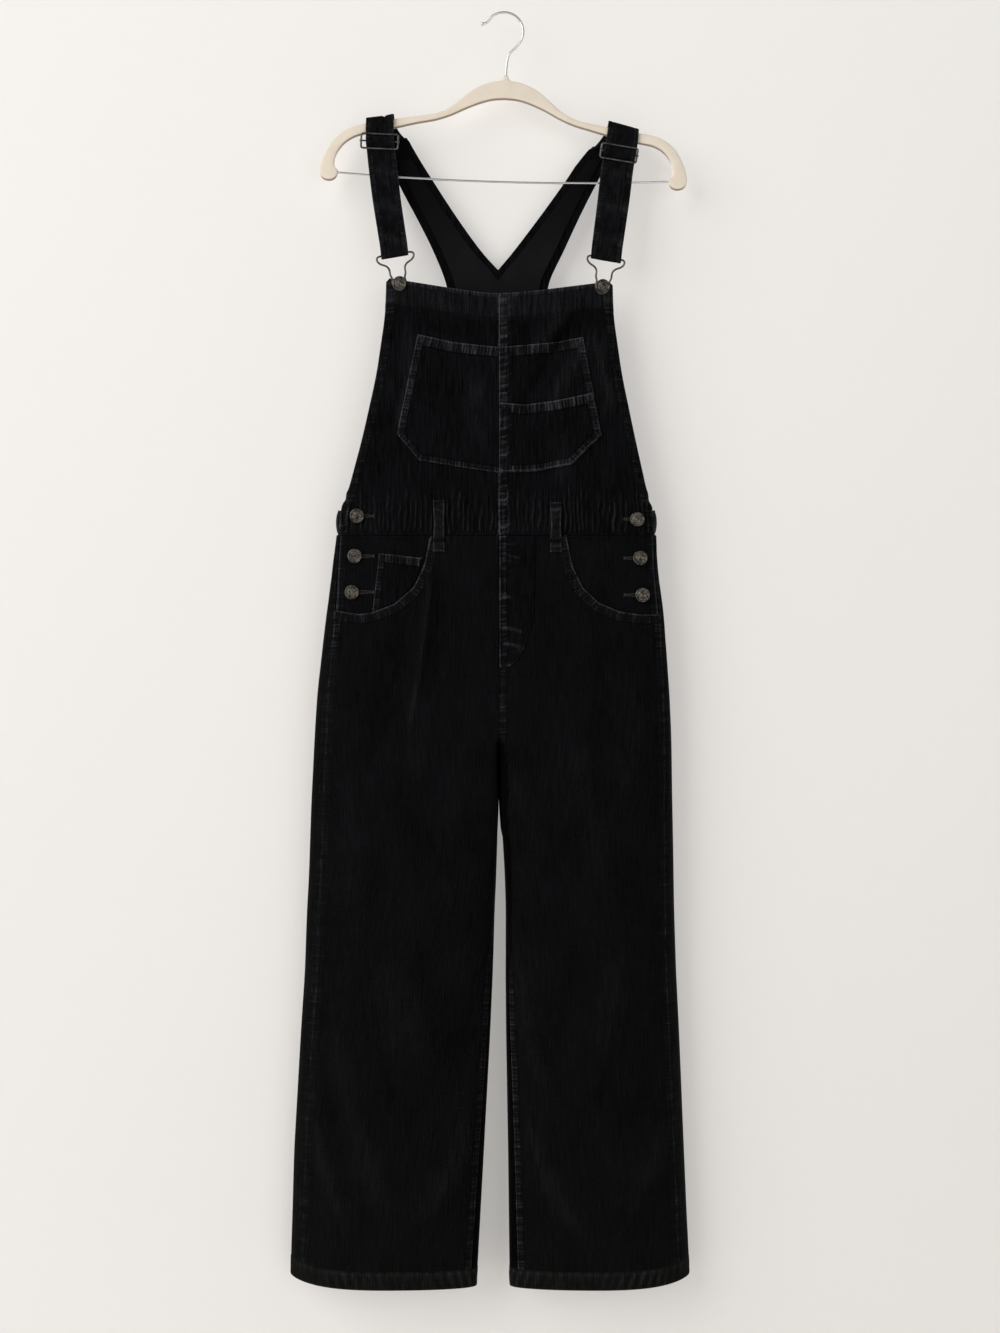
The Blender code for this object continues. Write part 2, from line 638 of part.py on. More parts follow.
STRAP_FRONT_Y = -5.6   # inner side of the strap where it passes under the slider's bars
STRAP_UNDER_Y = -4.6   # the same of its end, which comes up behind it
OVER_RADIUS = HANGER_THICK / 2 + 1.0
LOOP_RADIUS = WIRE / 2 + 0.9


def strap_route(side):
    """y and height of the strap's inner side, from behind the hanger to its sewn end.

    It rises behind the hanger, turns over it, weaves through the slider, runs down,
    turns round the bib hook's bar and comes back up behind itself.
    """
    top = hanger_top(STRAP_ROWS[side][0, 1]) + STRAP_CLEAR[side]
    slider = SLIDER_Z[side]
    low = STRAP_LOW_Z[side]
    route = [(OVER_RADIUS + 2.2, top - STRAP_BEHIND), (OVER_RADIUS + 1.0, top - 10.0)]
    for turn in np.linspace(0.0, math.pi, 7):
        route.append((OVER_RADIUS * math.cos(turn), top - OVER_RADIUS + OVER_RADIUS * math.sin(turn)))
    over_bar = SLIDER_Y - WIRE / 2 - 0.5
    route += [(STRAP_FRONT_Y, slider + SLIDER_HALF + 2.0), (STRAP_FRONT_Y, slider + SLIDER_HALF - 1.5),
              (over_bar, slider + 2.0), (over_bar, slider - 2.0),
              (STRAP_FRONT_Y, slider - SLIDER_HALF + 1.5), (STRAP_FRONT_Y, slider - SLIDER_HALF - 3.0),
              (-9.0, -205.0), (-12.0, -250.0), (HOOK_Y - LOOP_RADIUS, low + 4.0)]
    for turn in np.linspace(math.pi, 2 * math.pi, 6):
        route.append((HOOK_Y + LOOP_RADIUS * math.cos(turn), low + LOOP_RADIUS * math.sin(turn)))
    route += [(HOOK_Y + LOOP_RADIUS + 0.1, low + 6.0), (-10.3, -250.0), (-7.6, -205.0),
              (STRAP_UNDER_Y, slider - SLIDER_HALF - 3.0), (STRAP_UNDER_Y, slider - 4.5)]
    return route


strap_starts = {}
for side in ("left", "right"):
    rows = STRAP_ROWS[side]
    grid = []
    route = strap_route(side)
    top = max(height for y, height in route)
    for y, height in route:
        behind = min(1.0, (top - height) / STRAP_BEHIND) ** 2 if y > 0 else 0.0
        middle = read(rows, 1, height) + STRAP_DRIFT[side] * behind
        reach = read(rows, 2, height)
        tilt = math.radians(read(rows, 3, height)) * (1 - behind)
        grid.append([(middle + reach * k * math.cos(tilt), y, height + reach * k * math.sin(tilt))
                     for k in (-1.0, -0.5, 0.0, 0.5, 1.0)])
    strap_starts[side] = grid[0]
    strap = sheet(f"strap_{side}", grid, STRAP_THICK, "corduroy", (0, -1, 0))
    strap.modifiers["wall"].offset = 1.0


# Back: waistband, and the bib whose two arms run up to the shoulder straps.
BAND_TOP = -604.0
band_grid = []
for height in (BAND_TOP, WAIST_Z):
    left_x, left_y = face_line("left", WAIST_Z, back=True)
    right_x, right_y = face_line("right", WAIST_Z, back=True)
    line = np.concatenate([np.stack([left_x, left_y], 1)[::-1], np.stack([right_x, right_y], 1)])
    band_grid.append([(x, y, height) for x, y in spaced(line, 0.0, lengths(line)[-1], 24)])
sheet("waistband_back", band_grid, 2 * CLOTH, "corduroy", (0, 1, 0))

# Back bib below its notch, and the two arms above it with their outer and inner edges.
NOTCH = (-6.0, -311.0)
BACK_ROWS = np.array([
    # height, left edge, right edge
    (-311.0, -75.2, 64.0),
    (-322.0, -70.8, 57.4),
    (-350.0, -66.0, 54.0),
    (-385.0, -68.0, 56.0),
    (-430.0, -83.0, 72.0),
    (-480.0, -113.0, 102.0),
    (-540.0, -152.0, 141.0),
    (BAND_TOP + SEAM_GAP, -188.0, 172.0),
])
ARM_ROWS = {
    # height, outer edge, inner edge
    "left": ((-285.4, -85.5, -26.9), (-248.7, -103.8, -53.7), (-212.0, -123.5, -78.1),
             (-175.5, -141.0, -101.3)),
    "right": ((-285.4, 74.5, 13.4), (-248.7, 91.6, 41.5), (-212.0, 110.0, 68.4),
              (-175.5, 130.5, 94.0)),
}
BACK_DEPTH = np.array([
    # height, y of the inner side
    (-150.0, 8.7), (-200.0, 11.0), (-300.0, 14.0), (-604.0, 18.0),
])
BACK_THICK = 1.3 * CLOTH
ARM_COLUMNS = 4

FACING_THICK = 1.0
FACING_INSET = 10.5    # width of the turned corduroy edge that shows round the facing
FACING_ROWS = [0, 2, 3, 4]  # rows of BACK_ROWS that the facing covers
NOTCH_DROP = 1.3       # times the inset, below the notch


def back_shape(name, rows, arms, inset, inward, thickness, material):
    """A wall of the back's shape, its edges moved in by inset and its inner side by inward."""
    points, faces = [], []
    width = 2 * ARM_COLUMNS + 1
    for row, (height, left, right) in enumerate(rows):
        level = height - NOTCH_DROP * inset if row == 0 else height
        across = [*np.linspace(left + inset, NOTCH[0], ARM_COLUMNS + 1),
                  *np.linspace(NOTCH[0], right - inset, ARM_COLUMNS + 1)[1:]]
        points.extend((x, read(BACK_DEPTH, 1, level) - inward, level) for x in across)
    for row in range(len(rows) - 1):
        for column in range(width - 1):
            corner = row * width + column
            faces.append((corner, corner + width, corner + width + 1, corner + 1))
    for first, arm in zip((0, ARM_COLUMNS), arms):
        above = [first + column for column in range(ARM_COLUMNS + 1)]
        for height, *edges in arm:
            across = np.linspace(min(edges) + inset, max(edges) - inset, ARM_COLUMNS + 1)
            current = list(range(len(points), len(points) + ARM_COLUMNS + 1))
            points.extend((x, read(BACK_DEPTH, 1, height) - inward, height) for x in across)
            for column in range(ARM_COLUMNS):
                faces.append((current[column], above[column], above[column + 1],
                              current[column + 1]))
            above = current
    made = make_object(name, points, faces, material)
    wall = made.modifiers.new("wall", "SOLIDIFY")
    wall.thickness = thickness * MM
    wall.offset = -1.0


arms = []
for side in ("left", "right"):
    start = np.array(strap_starts[side])
    arms.append((*ARM_ROWS[side], (start[:, 2].min() - SEAM_GAP, start[0, 0], start[-1, 0])))
back_shape("bib_back", BACK_ROWS, arms, 0.0, 0.0, BACK_THICK, "corduroy")
back_shape("back_facing", BACK_ROWS[FACING_ROWS], ARM_ROWS.values(), FACING_INSET,
           LIFT + FACING_THICK, FACING_THICK, "corduroy_trim")


def frame_wire(name, corners, bar_ends, material):
    """A wire rectangle with a middle bar, united into one body."""
    frame = wire(name, corners, WIRE, material, closed=True)
    bar = wire(f"{name}_bar", bar_ends, 2.0, material)
    depsgraph = bpy.context.evaluated_depsgraph_get()
    meshes = []
    for source in (frame, bar):
        meshes.append(bpy.data.meshes.new_from_object(source.evaluated_get(depsgraph)))
        bpy.data.objects.remove(source, do_unlink=True)
    made = bpy.data.objects.new(name, meshes[0])
    cutter = bpy.data.objects.new(f"{name}_bar", meshes[1])
    for item in (made, cutter):
        bpy.context.scene.collection.objects.link(item)
    join = made.modifiers.new("join", "BOOLEAN")
    join.operation = "UNION"
    join.object = cutter
    cutter.hide_render = True
    cutter.display_type = "WIRE"
    return made


def turned(x, height, middle, degrees):
    """A point of a small part's own plane, turned and moved to its middle: x and height."""
    turn = math.radians(degrees)
    return (middle[0] + x * math.cos(turn) - height * math.sin(turn),
            middle[1] + x * math.sin(turn) + height * math.cos(turn))


# Sliders: a wire frame with round corners and a bar whose ends stick out of its sides.
SLIDERS = {"left": (-149.5, 22.3, -2.5), "right": (140.6, 22.0, -9.5)}
SLIDER_CORNER = 2.6
SLIDER_NUB = 1.9
for side, (middle_x, reach, tilt_degrees) in SLIDERS.items():
    middle = (middle_x, SLIDER_Z[side])
    frame_route = []
    for degrees in range(45, 405, 30):
        turn = math.radians(degrees)
        x = math.copysign(reach - SLIDER_CORNER, math.cos(turn)) + SLIDER_CORNER * math.cos(turn)
        up = math.copysign(SLIDER_HALF - SLIDER_CORNER, math.sin(turn)) + SLIDER_CORNER * math.sin(turn)
        place = turned(x, up, middle, tilt_degrees)
        frame_route.append((place[0], SLIDER_Y, place[1]))
    bar_ends = []
    for end in (-reach - SLIDER_NUB, reach + SLIDER_NUB):
        place = turned(end, 0.0, middle, tilt_degrees)
        bar_ends.append((place[0], SLIDER_Y, place[1]))
    frame_wire(f"slider_{side}", frame_route, bar_ends, "dark_metal")


# Bib hooks: the bar inside the strap's fold, shoulders, neck and the ring on the button.
HOOK_HALF = (
    # x from the middle, height from the button's centre
    (10.0, 36.0), (20.5, 35.5), (22.5, 31.5), (19.5, 27.0), (12.5, 23.0), (9.6, 18.5),
    (9.3, 12.0), (7.6, 6.5), (8.0, 0.5), (5.4, -5.4), (0.0, -7.9),
)
HOOK_PLACES = {"left": (-125.2, -331.2, 9.0), "right": (119.9, -335.5, -8.0)}
for side, (x, height, lean) in HOOK_PLACES.items():
    route = []
    for across, up in (*HOOK_HALF, *((-across, up) for across, up in HOOK_HALF[-2::-1])):
        place = turned(across, up, (x, height), lean)
        route.append((place[0], HOOK_Y, place[1]))
    wire(f"bib_hook_{side}", smooth_route(route, 2, closed=True), WIRE, "dark_metal", closed=True)


BUTTON_PROFILE = (
    # share of the radius, share of the stand, share of the crown, from the seat outwards
    (0.30, 0.0, 0.0), (0.26, 1.0, 0.0), (0.92, 1.0, 0.0), (1.00, 1.0, 0.35), (0.96, 1.0, 0.85),
    (0.84, 1.0, 1.0), (0.70, 1.0, 0.72), (0.40, 1.0, 0.72), (0.30, 1.0, 0.9),
)
BUTTON_SIDES = 16


def button(name, x, height, seat_y, radius, stand, crown):
    """A turned button: a shank on the cloth, a rim, and a dished face with a raised middle."""
    points, faces = [(x, seat_y, height)], []
    for radius_share, stand_share, crown_share in BUTTON_PROFILE:
        y = seat_y - stand * stand_share - crown * crown_share
        for k in range(BUTTON_SIDES):
            turn = 2 * math.pi * k / BUTTON_SIDES
            points.append((x + radius * radius_share * math.cos(turn), y,
                           height + radius * radius_share * math.sin(turn)))
    points.append((x, seat_y - stand - crown, height))
    top_ring = 1 + (len(BUTTON_PROFILE) - 1) * BUTTON_SIDES
    for k in range(BUTTON_SIDES):
        beside = (k + 1) % BUTTON_SIDES
        faces.append((0, 1 + beside, 1 + k))
        for low in range(1, top_ring, BUTTON_SIDES):
            high = low + BUTTON_SIDES
            faces.append((low + k, low + beside, high + beside, high + k))
        faces.append((top_ring + k, top_ring + beside, len(points) - 1))
    return make_object(name, points, faces, "dark_metal")


BIB_BUTTONS = {"left": (-125.0, -329.5), "right": (120.6, -333.4)}
BIB_BUTTON_RADIUS = 7.8
for side, (x, height) in BIB_BUTTONS.items():
    seat_y = front_point(x, height)[1] - SEAM_GAP
    stand = seat_y - HOOK_Y + WIRE / 2 + SEAM_GAP
    button(f"bib_button_{side}", x, height, seat_y, BIB_BUTTON_RADIUS, stand, 2.6)

# Side buttons: x, height and how far the cloth they sit on lies behind the front.
SIDE_BUTTONS = {
    "left": ((-176.0, -612.4, 0.0), (-178.7, -660.7, SIDE_PANEL_IN),
             (-182.1, -704.5, SIDE_PANEL_IN)),
    "right": ((161.8, -616.5, 0.0), (165.4, -663.0, SIDE_PANEL_IN),
              (168.2, -707.8, SIDE_PANEL_IN)),
}
SIDE_BUTTON_RADIUS = 8.8
for side, places in SIDE_BUTTONS.items():
    for number, (x, height, behind) in enumerate(places, start=1):
        seat_y = front_point(x, height, LIFT - behind)[1]
        button(f"side_button_{side}_{number}", x, height, seat_y, SIDE_BUTTON_RADIUS, 2.4, 2.4)
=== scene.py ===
"""Black fine-wale corduroy bib overalls, hanging by their straps on a flocked hanger.

Millimetres are used for every shape and become metres when a mesh is made. X runs to the
viewer's right, Y into the wall, Z up, and the origin is the inside top of the hanger's hook.
"""

import bmesh
import bpy
import numpy as np
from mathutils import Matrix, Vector


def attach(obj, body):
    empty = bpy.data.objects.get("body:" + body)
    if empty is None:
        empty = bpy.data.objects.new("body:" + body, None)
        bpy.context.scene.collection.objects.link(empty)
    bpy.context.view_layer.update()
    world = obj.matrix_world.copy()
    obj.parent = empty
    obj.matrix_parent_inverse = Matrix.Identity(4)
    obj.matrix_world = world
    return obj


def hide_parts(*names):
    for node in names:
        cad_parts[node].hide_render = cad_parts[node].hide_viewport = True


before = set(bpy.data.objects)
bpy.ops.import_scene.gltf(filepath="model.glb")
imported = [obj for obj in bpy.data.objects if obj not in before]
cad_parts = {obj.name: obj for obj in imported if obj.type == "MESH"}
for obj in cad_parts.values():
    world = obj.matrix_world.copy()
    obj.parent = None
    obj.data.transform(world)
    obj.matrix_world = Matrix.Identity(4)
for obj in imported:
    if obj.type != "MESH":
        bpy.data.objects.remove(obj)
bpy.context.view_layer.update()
MM = 0.001


# ---------------------------------------------------------------------------------------
# Hanger hook and trouser bar. Bright drawn steel wire: the hook is bent over a former and
# pushed into the hanger's neck, its tip upset to a small ball; the bar hangs in the feet.
class Strand:
    """One node output of a finish. Arithmetic on it adds Math nodes."""

    def __init__(self, finish, socket):
        self.finish = finish
        self.socket = socket

    def math(self, operation, *values):
        """A Math node of that operation on the given values."""
        return self.finish.node("Math", {"operation": operation}, dict(enumerate(values)))

    def __add__(self, other):
        return self.math("ADD", self, other)

    def __sub__(self, other):
        return self.math("SUBTRACT", self, other)

    def __rsub__(self, other):
        return self.math("SUBTRACT", other, self)

    def __mul__(self, other):
        return self.math("MULTIPLY", self, other)

    __radd__ = __add__
    __rmul__ = __mul__

    def other(self, name):
        """Another output of the same node."""
        return Strand(self.finish, self.socket.node.outputs[name])

    def held(self, low, high):
        """The value carried from low..high to 0..1 and held there, smoothly."""
        return self.finish.node("MapRange", {"interpolation_type": "SMOOTHSTEP"},
                                {"Value": self, "From Min": low, "From Max": high})


class Finish:
    """A material while it is mixed: its nodes, and the one way of adding them."""

    def __init__(self, name, roughness, metallic=0.0, specular=0.5):
        self.material = bpy.data.materials.new(name)
        self.material.use_nodes = True
        self.tree = self.material.node_tree
        self.shader = self.tree.nodes["Principled BSDF"]
        self.shader.inputs["Roughness"].default_value = roughness
        self.shader.inputs["Metallic"].default_value = metallic
        self.shader.inputs["Specular IOR Level"].default_value = specular

    def node(self, kind, settings=None, values=None, out=0):
        """Adds a node: its settings first, then the values or links of its sockets."""
        made = self.tree.nodes.new("ShaderNode" + kind)
        for key, setting in (settings or {}).items():
            setattr(made, key, setting)
        for key, value in (values or {}).items():
            if isinstance(value, Strand):
                self.tree.links.new(value.socket, made.inputs[key])
            else:
                made.inputs[key].default_value = value
        return Strand(self, made.outputs[out])

    def feed(self, key, strand):
        """Joins a strand to one of the shader's own sockets."""
        self.tree.links.new(strand.socket, self.shader.inputs[key])

    def noise(self, place, scale, detail=2.0, roughness=0.5):
        """Noise between 0 and 1 at a place."""
        return self.node("TexNoise", {}, {"Vector": place, "Scale": scale, "Detail": detail,
                                          "Roughness": roughness})

    def blend(self, amount, first, second):
        """A colour between two, by amount."""
        return self.node("Mix", {"data_type": "RGBA"}, {0: amount, 6: first, 7: second}, 2)

    def place(self, scale=(1.0, 1.0, 1.0)):
        """Object coordinates, stretched."""
        spot = self.node("TexCoord", out="Object")
        return self.node("Mapping", {}, {"Vector": spot, "Scale": scale})

    def bump(self, height, distance, strength):
        """Feeds the shader's normal from a height that is distance metres at 1."""
        self.feed("Normal", self.node("Bump", {}, {"Height": height, "Distance": distance,
                                                   "Strength": strength}))


def grid_faces(rows, columns, loop=False):
    """Quads of a grid as an array of corners; loop joins the last column to the first."""
    across = np.arange(columns if loop else columns - 1)
    corner = np.arange(rows - 1)[:, None] * columns
    left, right = corner + across, corner + (across + 1) % columns
    return np.stack([left, right, right + columns, left + columns], -1).reshape(-1, 4)


def solid_mesh(name, points, faces, finish):
    """A closed object from points in millimetres and lists of faces, turned to face out
    when its signed volume is negative, and shaded smooth.
    """
    mesh = bpy.data.meshes.new(name)
    mesh.from_pydata((np.asarray(points) * MM).tolist(), [], [list(face) for face in faces])
    mesh.update()
    mesh.calc_loop_triangles()
    corners = np.array([triangle.vertices for triangle in mesh.loop_triangles])
    first, second, third = np.asarray(points)[corners].transpose(1, 0, 2)
    if np.einsum("ij,ij->", first, np.cross(second, third)) < 0:
        mesh.flip_normals()
    mesh.shade_smooth()
    mesh.materials.append(finish.material)
    made = bpy.data.objects.new(name, mesh)
    bpy.context.scene.collection.objects.link(made)
    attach(made, "root")
    return made


CURVE_PARTS = 24


def curve_through(points, step, closed=False):
    """A Catmull-Rom curve through the points: the usual cubic of each four neighbours, in
    CURVE_PARTS parts, and the whole resampled every step millimetres.
    """
    points = np.asarray(points, float)
    if closed:
        held = np.concatenate([points[-1:], points, points[:2]])
    else:
        held = np.concatenate([2 * points[:1] - points[1:2], points, 2 * points[-1:] - points[-2:-1]])
    t = np.linspace(0.0, 1.0, CURVE_PARTS, endpoint=False)[:, None]
    before, start, end, after = (held[k:len(held) - 3 + k, None] for k in range(4))
    path = 0.5 * (2 * start + (end - before) * t + (2 * before - 5 * start + 4 * end - after) * t ** 2
                  + (3 * start - before - 3 * end + after) * t ** 3)
    path = np.concatenate([path.reshape(-1, points.shape[1]), points[:1] if closed else points[-1:]])
    distance = np.concatenate([[0.0], np.cumsum(np.linalg.norm(np.diff(path, axis=0), axis=1))])
    wanted = np.linspace(0.0, distance[-1], max(2, int(distance[-1] / step)) + 1)
    path = np.stack([np.interp(wanted, distance, column) for column in path.T], -1)
    return path[:-1] if closed else path


def tube(path, radius, sides=14, closed=False):
    """Points and faces of a wire: a circle of that radius carried along the path.

    Each ring lies across the path, on one axis that is level into the wall and one at
    right angles to it. radius may be one number or one for each point of the path.
    """
    ahead = np.roll(path, -1, 0) - np.roll(path, 1, 0) if closed else np.gradient(path, axis=0)
    ahead /= np.linalg.norm(ahead, axis=1)[:, None]
    level = np.array([0.0, 1.0, 0.0]) - ahead * ahead[:, 1:2]
    level /= np.linalg.norm(level, axis=1)[:, None]
    side = np.cross(ahead, level)
    turn = np.linspace(0.0, 2 * np.pi, sides, endpoint=False)[:, None]
    radius = np.broadcast_to(radius, len(path))[:, None, None]
    rings = path[:, None] + radius * (np.cos(turn) * level[:, None] + np.sin(turn) * side[:, None])
    rows = len(path)
    faces = [face[::-1] for face in grid_faces(rows, sides, loop=True).tolist()]
    if closed:
        last = (rows - 1) * sides
        faces += [[last + (k + 1) % sides, last + k, k, (k + 1) % sides] for k in range(sides)]
    else:
        faces += [list(range(sides)), list(range(rows * sides - 1, (rows - 1) * sides - 1, -1))]
    return rings.reshape(-1, 3), faces


HOOK_RADIUS, HOOK_WIRE, HOOK_MIDDLE_X = 23.5, 3.0, 1.2
HOOK_TURNS = np.radians(np.arange(-40, 131, 6))
hook_arc = np.stack([HOOK_MIDDLE_X + HOOK_RADIUS * np.cos(HOOK_TURNS), 0 * HOOK_TURNS,
                     HOOK_WIRE / 2 - HOOK_RADIUS + HOOK_RADIUS * np.sin(HOOK_TURNS)], -1)
HOOK_STEM = [(3.6, 0, -75.7), (4.3, 0, -64.0), (5.4, 0, -56.4), (6.6, 0, -51.6), (9.4, 0, -47.2),
             (15.0, 0, -42.0)]
HOOK_TIP = [(-18.6, 0, -10.2), (-22.5, 0, -12.0), (-26.8, 0, -13.2)]
HOOK_STEP = 1.2
hook_path = curve_through([*HOOK_STEM, *hook_arc, *HOOK_TIP], HOOK_STEP)
# The ball is a sphere on the wire: its radius, how far its middle lies from the tip and
# how far it reaches. The tip itself is blunt.
BALL_RADIUS, BALL_MIDDLE, BALL_REACH = 2.3, 1.6, 3.8
TIP_REACH, TIP_RADIUS = 0.5, 0.9
from_tip = np.linalg.norm(hook_path - hook_path[-1], axis=1)
ball = np.sqrt(np.clip(BALL_RADIUS ** 2 - (from_tip - BALL_MIDDLE) ** 2, 0.2, None)) \
    * (from_tip < BALL_REACH)
hook_radius = np.maximum(np.where(from_tip < TIP_REACH, TIP_RADIUS, HOOK_WIRE / 2), ball)

STEEL_DULL, STEEL_BRIGHT = (0.50, 0.50, 0.50, 1), (0.68, 0.67, 0.66, 1)
bright_steel = Finish("bright_steel", 0.2, 1.0)
scuffs = bright_steel.noise(bright_steel.place((900.0, 900.0, 120.0)), 1.0, 3.0)
bright_steel.feed("Base Color", bright_steel.blend(scuffs, STEEL_DULL, STEEL_BRIGHT))
bright_steel.feed("Roughness", scuffs * 0.18 + 0.12)
hook = solid_mesh("hook", *tube(hook_path, hook_radius), bright_steel)
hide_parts("hanger_hook")

BAR_WIRE, BAR_SAG = 2.6, 6.0
BAR_LEFT, BAR_RIGHT = np.array([-201.0, 0.0, -193.2]), np.array([201.5, 0.0, -204.6])
along = np.linspace(0.0, 1.0, 160)
bar_path = BAR_LEFT + (BAR_RIGHT - BAR_LEFT) * along[:, None]
bar_path[:, 2] -= 4 * BAR_SAG * along * (1 - along)
bar = solid_mesh("trouser_bar", *tube(bar_path, BAR_WIRE / 2), bright_steel)
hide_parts("hanger_bar")


# ---------------------------------------------------------------------------------------
# Hanger body. Moulded plastic in cream flocking, 7 mm thick with round edges, a cone at
# the neck and a foot at each end. Its lower side is in its own shade.
NECK = np.array([3.6, -80.0])
TILT = np.radians(1.63)
HANGER_TOP = [(0.0, -76.0), (2.6, -76.2), (3.6, -79.0), (5.2, -81.6), (9.0, -82.8), (15.0, -83.6),
              (27.0, -87.5), (41.0, -95.0), (56.0, -107.0), (70.0, -117.6), (87.0, -124.6),
              (120.0, -130.0), (155.0, -136.0), (178.0, -141.0), (196.0, -149.5), (209.0, -161.5),
              (218.0, -177.0), (222.6, -190.0), (223.2, -200.0), (219.5, -207.0), (212.0, -209.4),
              (205.5, -207.6), (201.6, -202.6)]
HANGER_BELOW = [(201.0, -196.5), (204.4, -193.0), (205.6, -188.0), (202.6, -176.0), (195.0, -165.0),
                (185.0, -157.5), (172.0, -152.5), (137.0, -144.6), (108.0, -137.5), (84.0, -132.5),
                (66.0, -126.4), (47.0, -117.5), (30.0, -110.5), (15.0, -106.3), (0.0, -105.0)]
HANGER_HALF_THICK, HANGER_EDGE, OUTLINE_STEP = 3.5, 2.2, 1.6
SHOULDER_BOW, BOW_STARTS, BOW_ENDS = 4.4, (40.0, 120.0), (150.0, 212.0)


def step(value, low, high):
    """0 below low, 1 above high, a smooth S between them."""
    share = np.clip((value - low) / (high - low), 0.0, 1.0)
    return share * share * (3 - 2 * share)


def hung(distance, height):
    """x and z of a hanger point: turned about the neck by the tilt, right side down. The
    right shoulder is bowed down a little between the neck and the foot.
    """
    bow = SHOULDER_BOW * step(distance, *BOW_STARTS) * (1 - step(distance, *BOW_ENDS))
    up = height - NECK[1] - bow
    return np.stack([NECK[0] + distance * np.cos(TILT) + up * np.sin(TILT),
                     NECK[1] + up * np.cos(TILT) - distance * np.sin(TILT)], -1)


half = curve_through(HANGER_TOP + HANGER_BELOW, OUTLINE_STEP)
whole = np.concatenate([half, (half * (-1, 1))[-2:0:-1]])
outline = hung(whole[:, 0], whole[:, 1])
outward = np.roll(outline, -1, 0) - np.roll(outline, 1, 0)
outward = np.stack([-outward[:, 1], outward[:, 0]], -1) / np.linalg.norm(outward, axis=1)[:, None]
edge_turn = np.linspace(-np.pi / 2, np.pi / 2, 7)
# Rings across the edge: the flat front, a quarter round, the narrow side and back again.
edge_in = HANGER_EDGE * (1 - np.cos(edge_turn))
edge_y = np.sign(edge_turn) * (HANGER_HALF_THICK - HANGER_EDGE) + HANGER_EDGE * np.sin(edge_turn)
rings = np.zeros((len(edge_in), len(outline), 3))
rings[:, :, [0, 2]] = outline - outward * edge_in[:, None, None]
rings[:, :, 1] = edge_y[:, None]
hanger_faces = grid_faces(len(edge_in), len(outline), loop=True).tolist()
hanger_faces += [list(range(len(outline)))[::-1],
                 list(range((len(edge_in) - 1) * len(outline), len(edge_in) * len(outline)))]

CREAM_DEEP, CREAM_LIGHT = (0.61, 0.545, 0.455, 1), (0.73, 0.655, 0.56, 1)
CREAM_SOILED, CREAM_SHADED = (0.56, 0.49, 0.405, 1), (0.26, 0.215, 0.165, 1)
cream_flock = Finish("cream_flock", 0.95, specular=0.15)
cream_flock.shader.inputs["Sheen Weight"].default_value = 0.25
fluff = cream_flock.noise(cream_flock.place(), 2600.0, 3.0, 0.7)
drift = cream_flock.noise(cream_flock.place(), 55.0, 3.0)
cream = cream_flock.blend(fluff.held(0.25, 0.75), CREAM_DEEP, CREAM_LIGHT)
cream = cream_flock.blend(drift.held(0.35, 0.75) * 0.35, cream, CREAM_SOILED)
normal = cream_flock.node("SeparateXYZ", {}, {"Vector": cream_flock.node("NewGeometry", out="Normal")})
underside = (normal.other("Z") * -1.4 - 0.15).held(0.0, 0.85)
cream_flock.feed("Base Color", cream_flock.blend(underside, cream, CREAM_SHADED))
cream_flock.bump(fluff, 0.0004, 0.5)
hanger = solid_mesh("hanger", rings.reshape(-1, 3), hanger_faces, cream_flock)
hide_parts("hanger_body")


# ---------------------------------------------------------------------------------------
# Front legs. One panel of corduroy each, cut with the curve of the pocket mouth and its
# wales running down the leg; the mouth is turned and double stitched, and the panel is
# felled to its neighbours, so that its edges rope and wear pale.
WAIST_Z, HEM_Z, HEM_TALL = -634.5, -1541.0, 22.5
FORK_FRONT_Z, FORK_BACK_Z, CROTCH_Z = -877.0, -1000.0, -1029.0
GIRTH = {
    # height, outer edge, inner edge, how far in the side seam lies
    "left": np.array([
        (-334.0, -141.1, -5.05, 0.0), (-369.0, -142.7, -5.05, 0.0), (-442.0, -153.4, -5.05, 0.0),
        (-514.6, -169.6, -5.05, 0.0), (-587.0, -189.0, -5.05, 0.0), (-603.0, -197.0, -5.05, 0.0),
        (-634.5, -201.5, -5.05, 2.5), (-676.0, -207.0, -5.05, 6.0), (-731.0, -214.6, -5.05, 11.0),
        (-823.0, -225.5, -5.0, 14.5), (-878.0, -229.2, -4.9, 16.0), (-960.0, -233.4, -5.0, 16.3),
        (-1018.0, -235.3, -7.6, 16.5), (-1050.0, -236.5, -8.6, 16.5), (-1091.0, -238.9, -10.6, 16.5),
        (-1164.0, -241.4, -12.4, 16.5), (-1237.0, -246.3, -15.4, 16.5),
        (-1383.0, -254.8, -23.2, 16.5), (-1541.0, -259.3, -31.9, 16.5)]),
    "right": np.array([
        (-334.0, 132.4, -4.75, 0.0), (-369.0, 133.6, -4.75, 0.0), (-442.0, 144.1, -4.75, 0.0),
        (-514.6, 159.3, -4.75, 0.0), (-587.0, 175.5, -4.75, 0.0), (-603.0, 181.5, -4.75, 0.0),
        (-634.5, 185.3, -4.75, 1.5), (-676.0, 187.4, -4.75, 2.5), (-731.0, 195.1, -4.75, 5.0),
        (-823.0, 202.4, -4.7, 9.0), (-878.0, 204.8, -4.4, 10.0), (-960.0, 206.2, -3.6, 11.4),
        (-1018.0, 207.3, 0.8, 12.0), (-1050.0, 207.8, 2.6, 12.5), (-1091.0, 208.5, 3.8, 13.0),
        (-1164.0, 210.9, 3.0, 14.0), (-1237.0, 214.6, 3.6, 14.0),
        (-1383.0, 220.7, 6.1, 14.0), (-1541.0, 227.6, 8.0, 14.0)]),
}
OUTER, INNER, SEAM_IN = 1, 2, 3
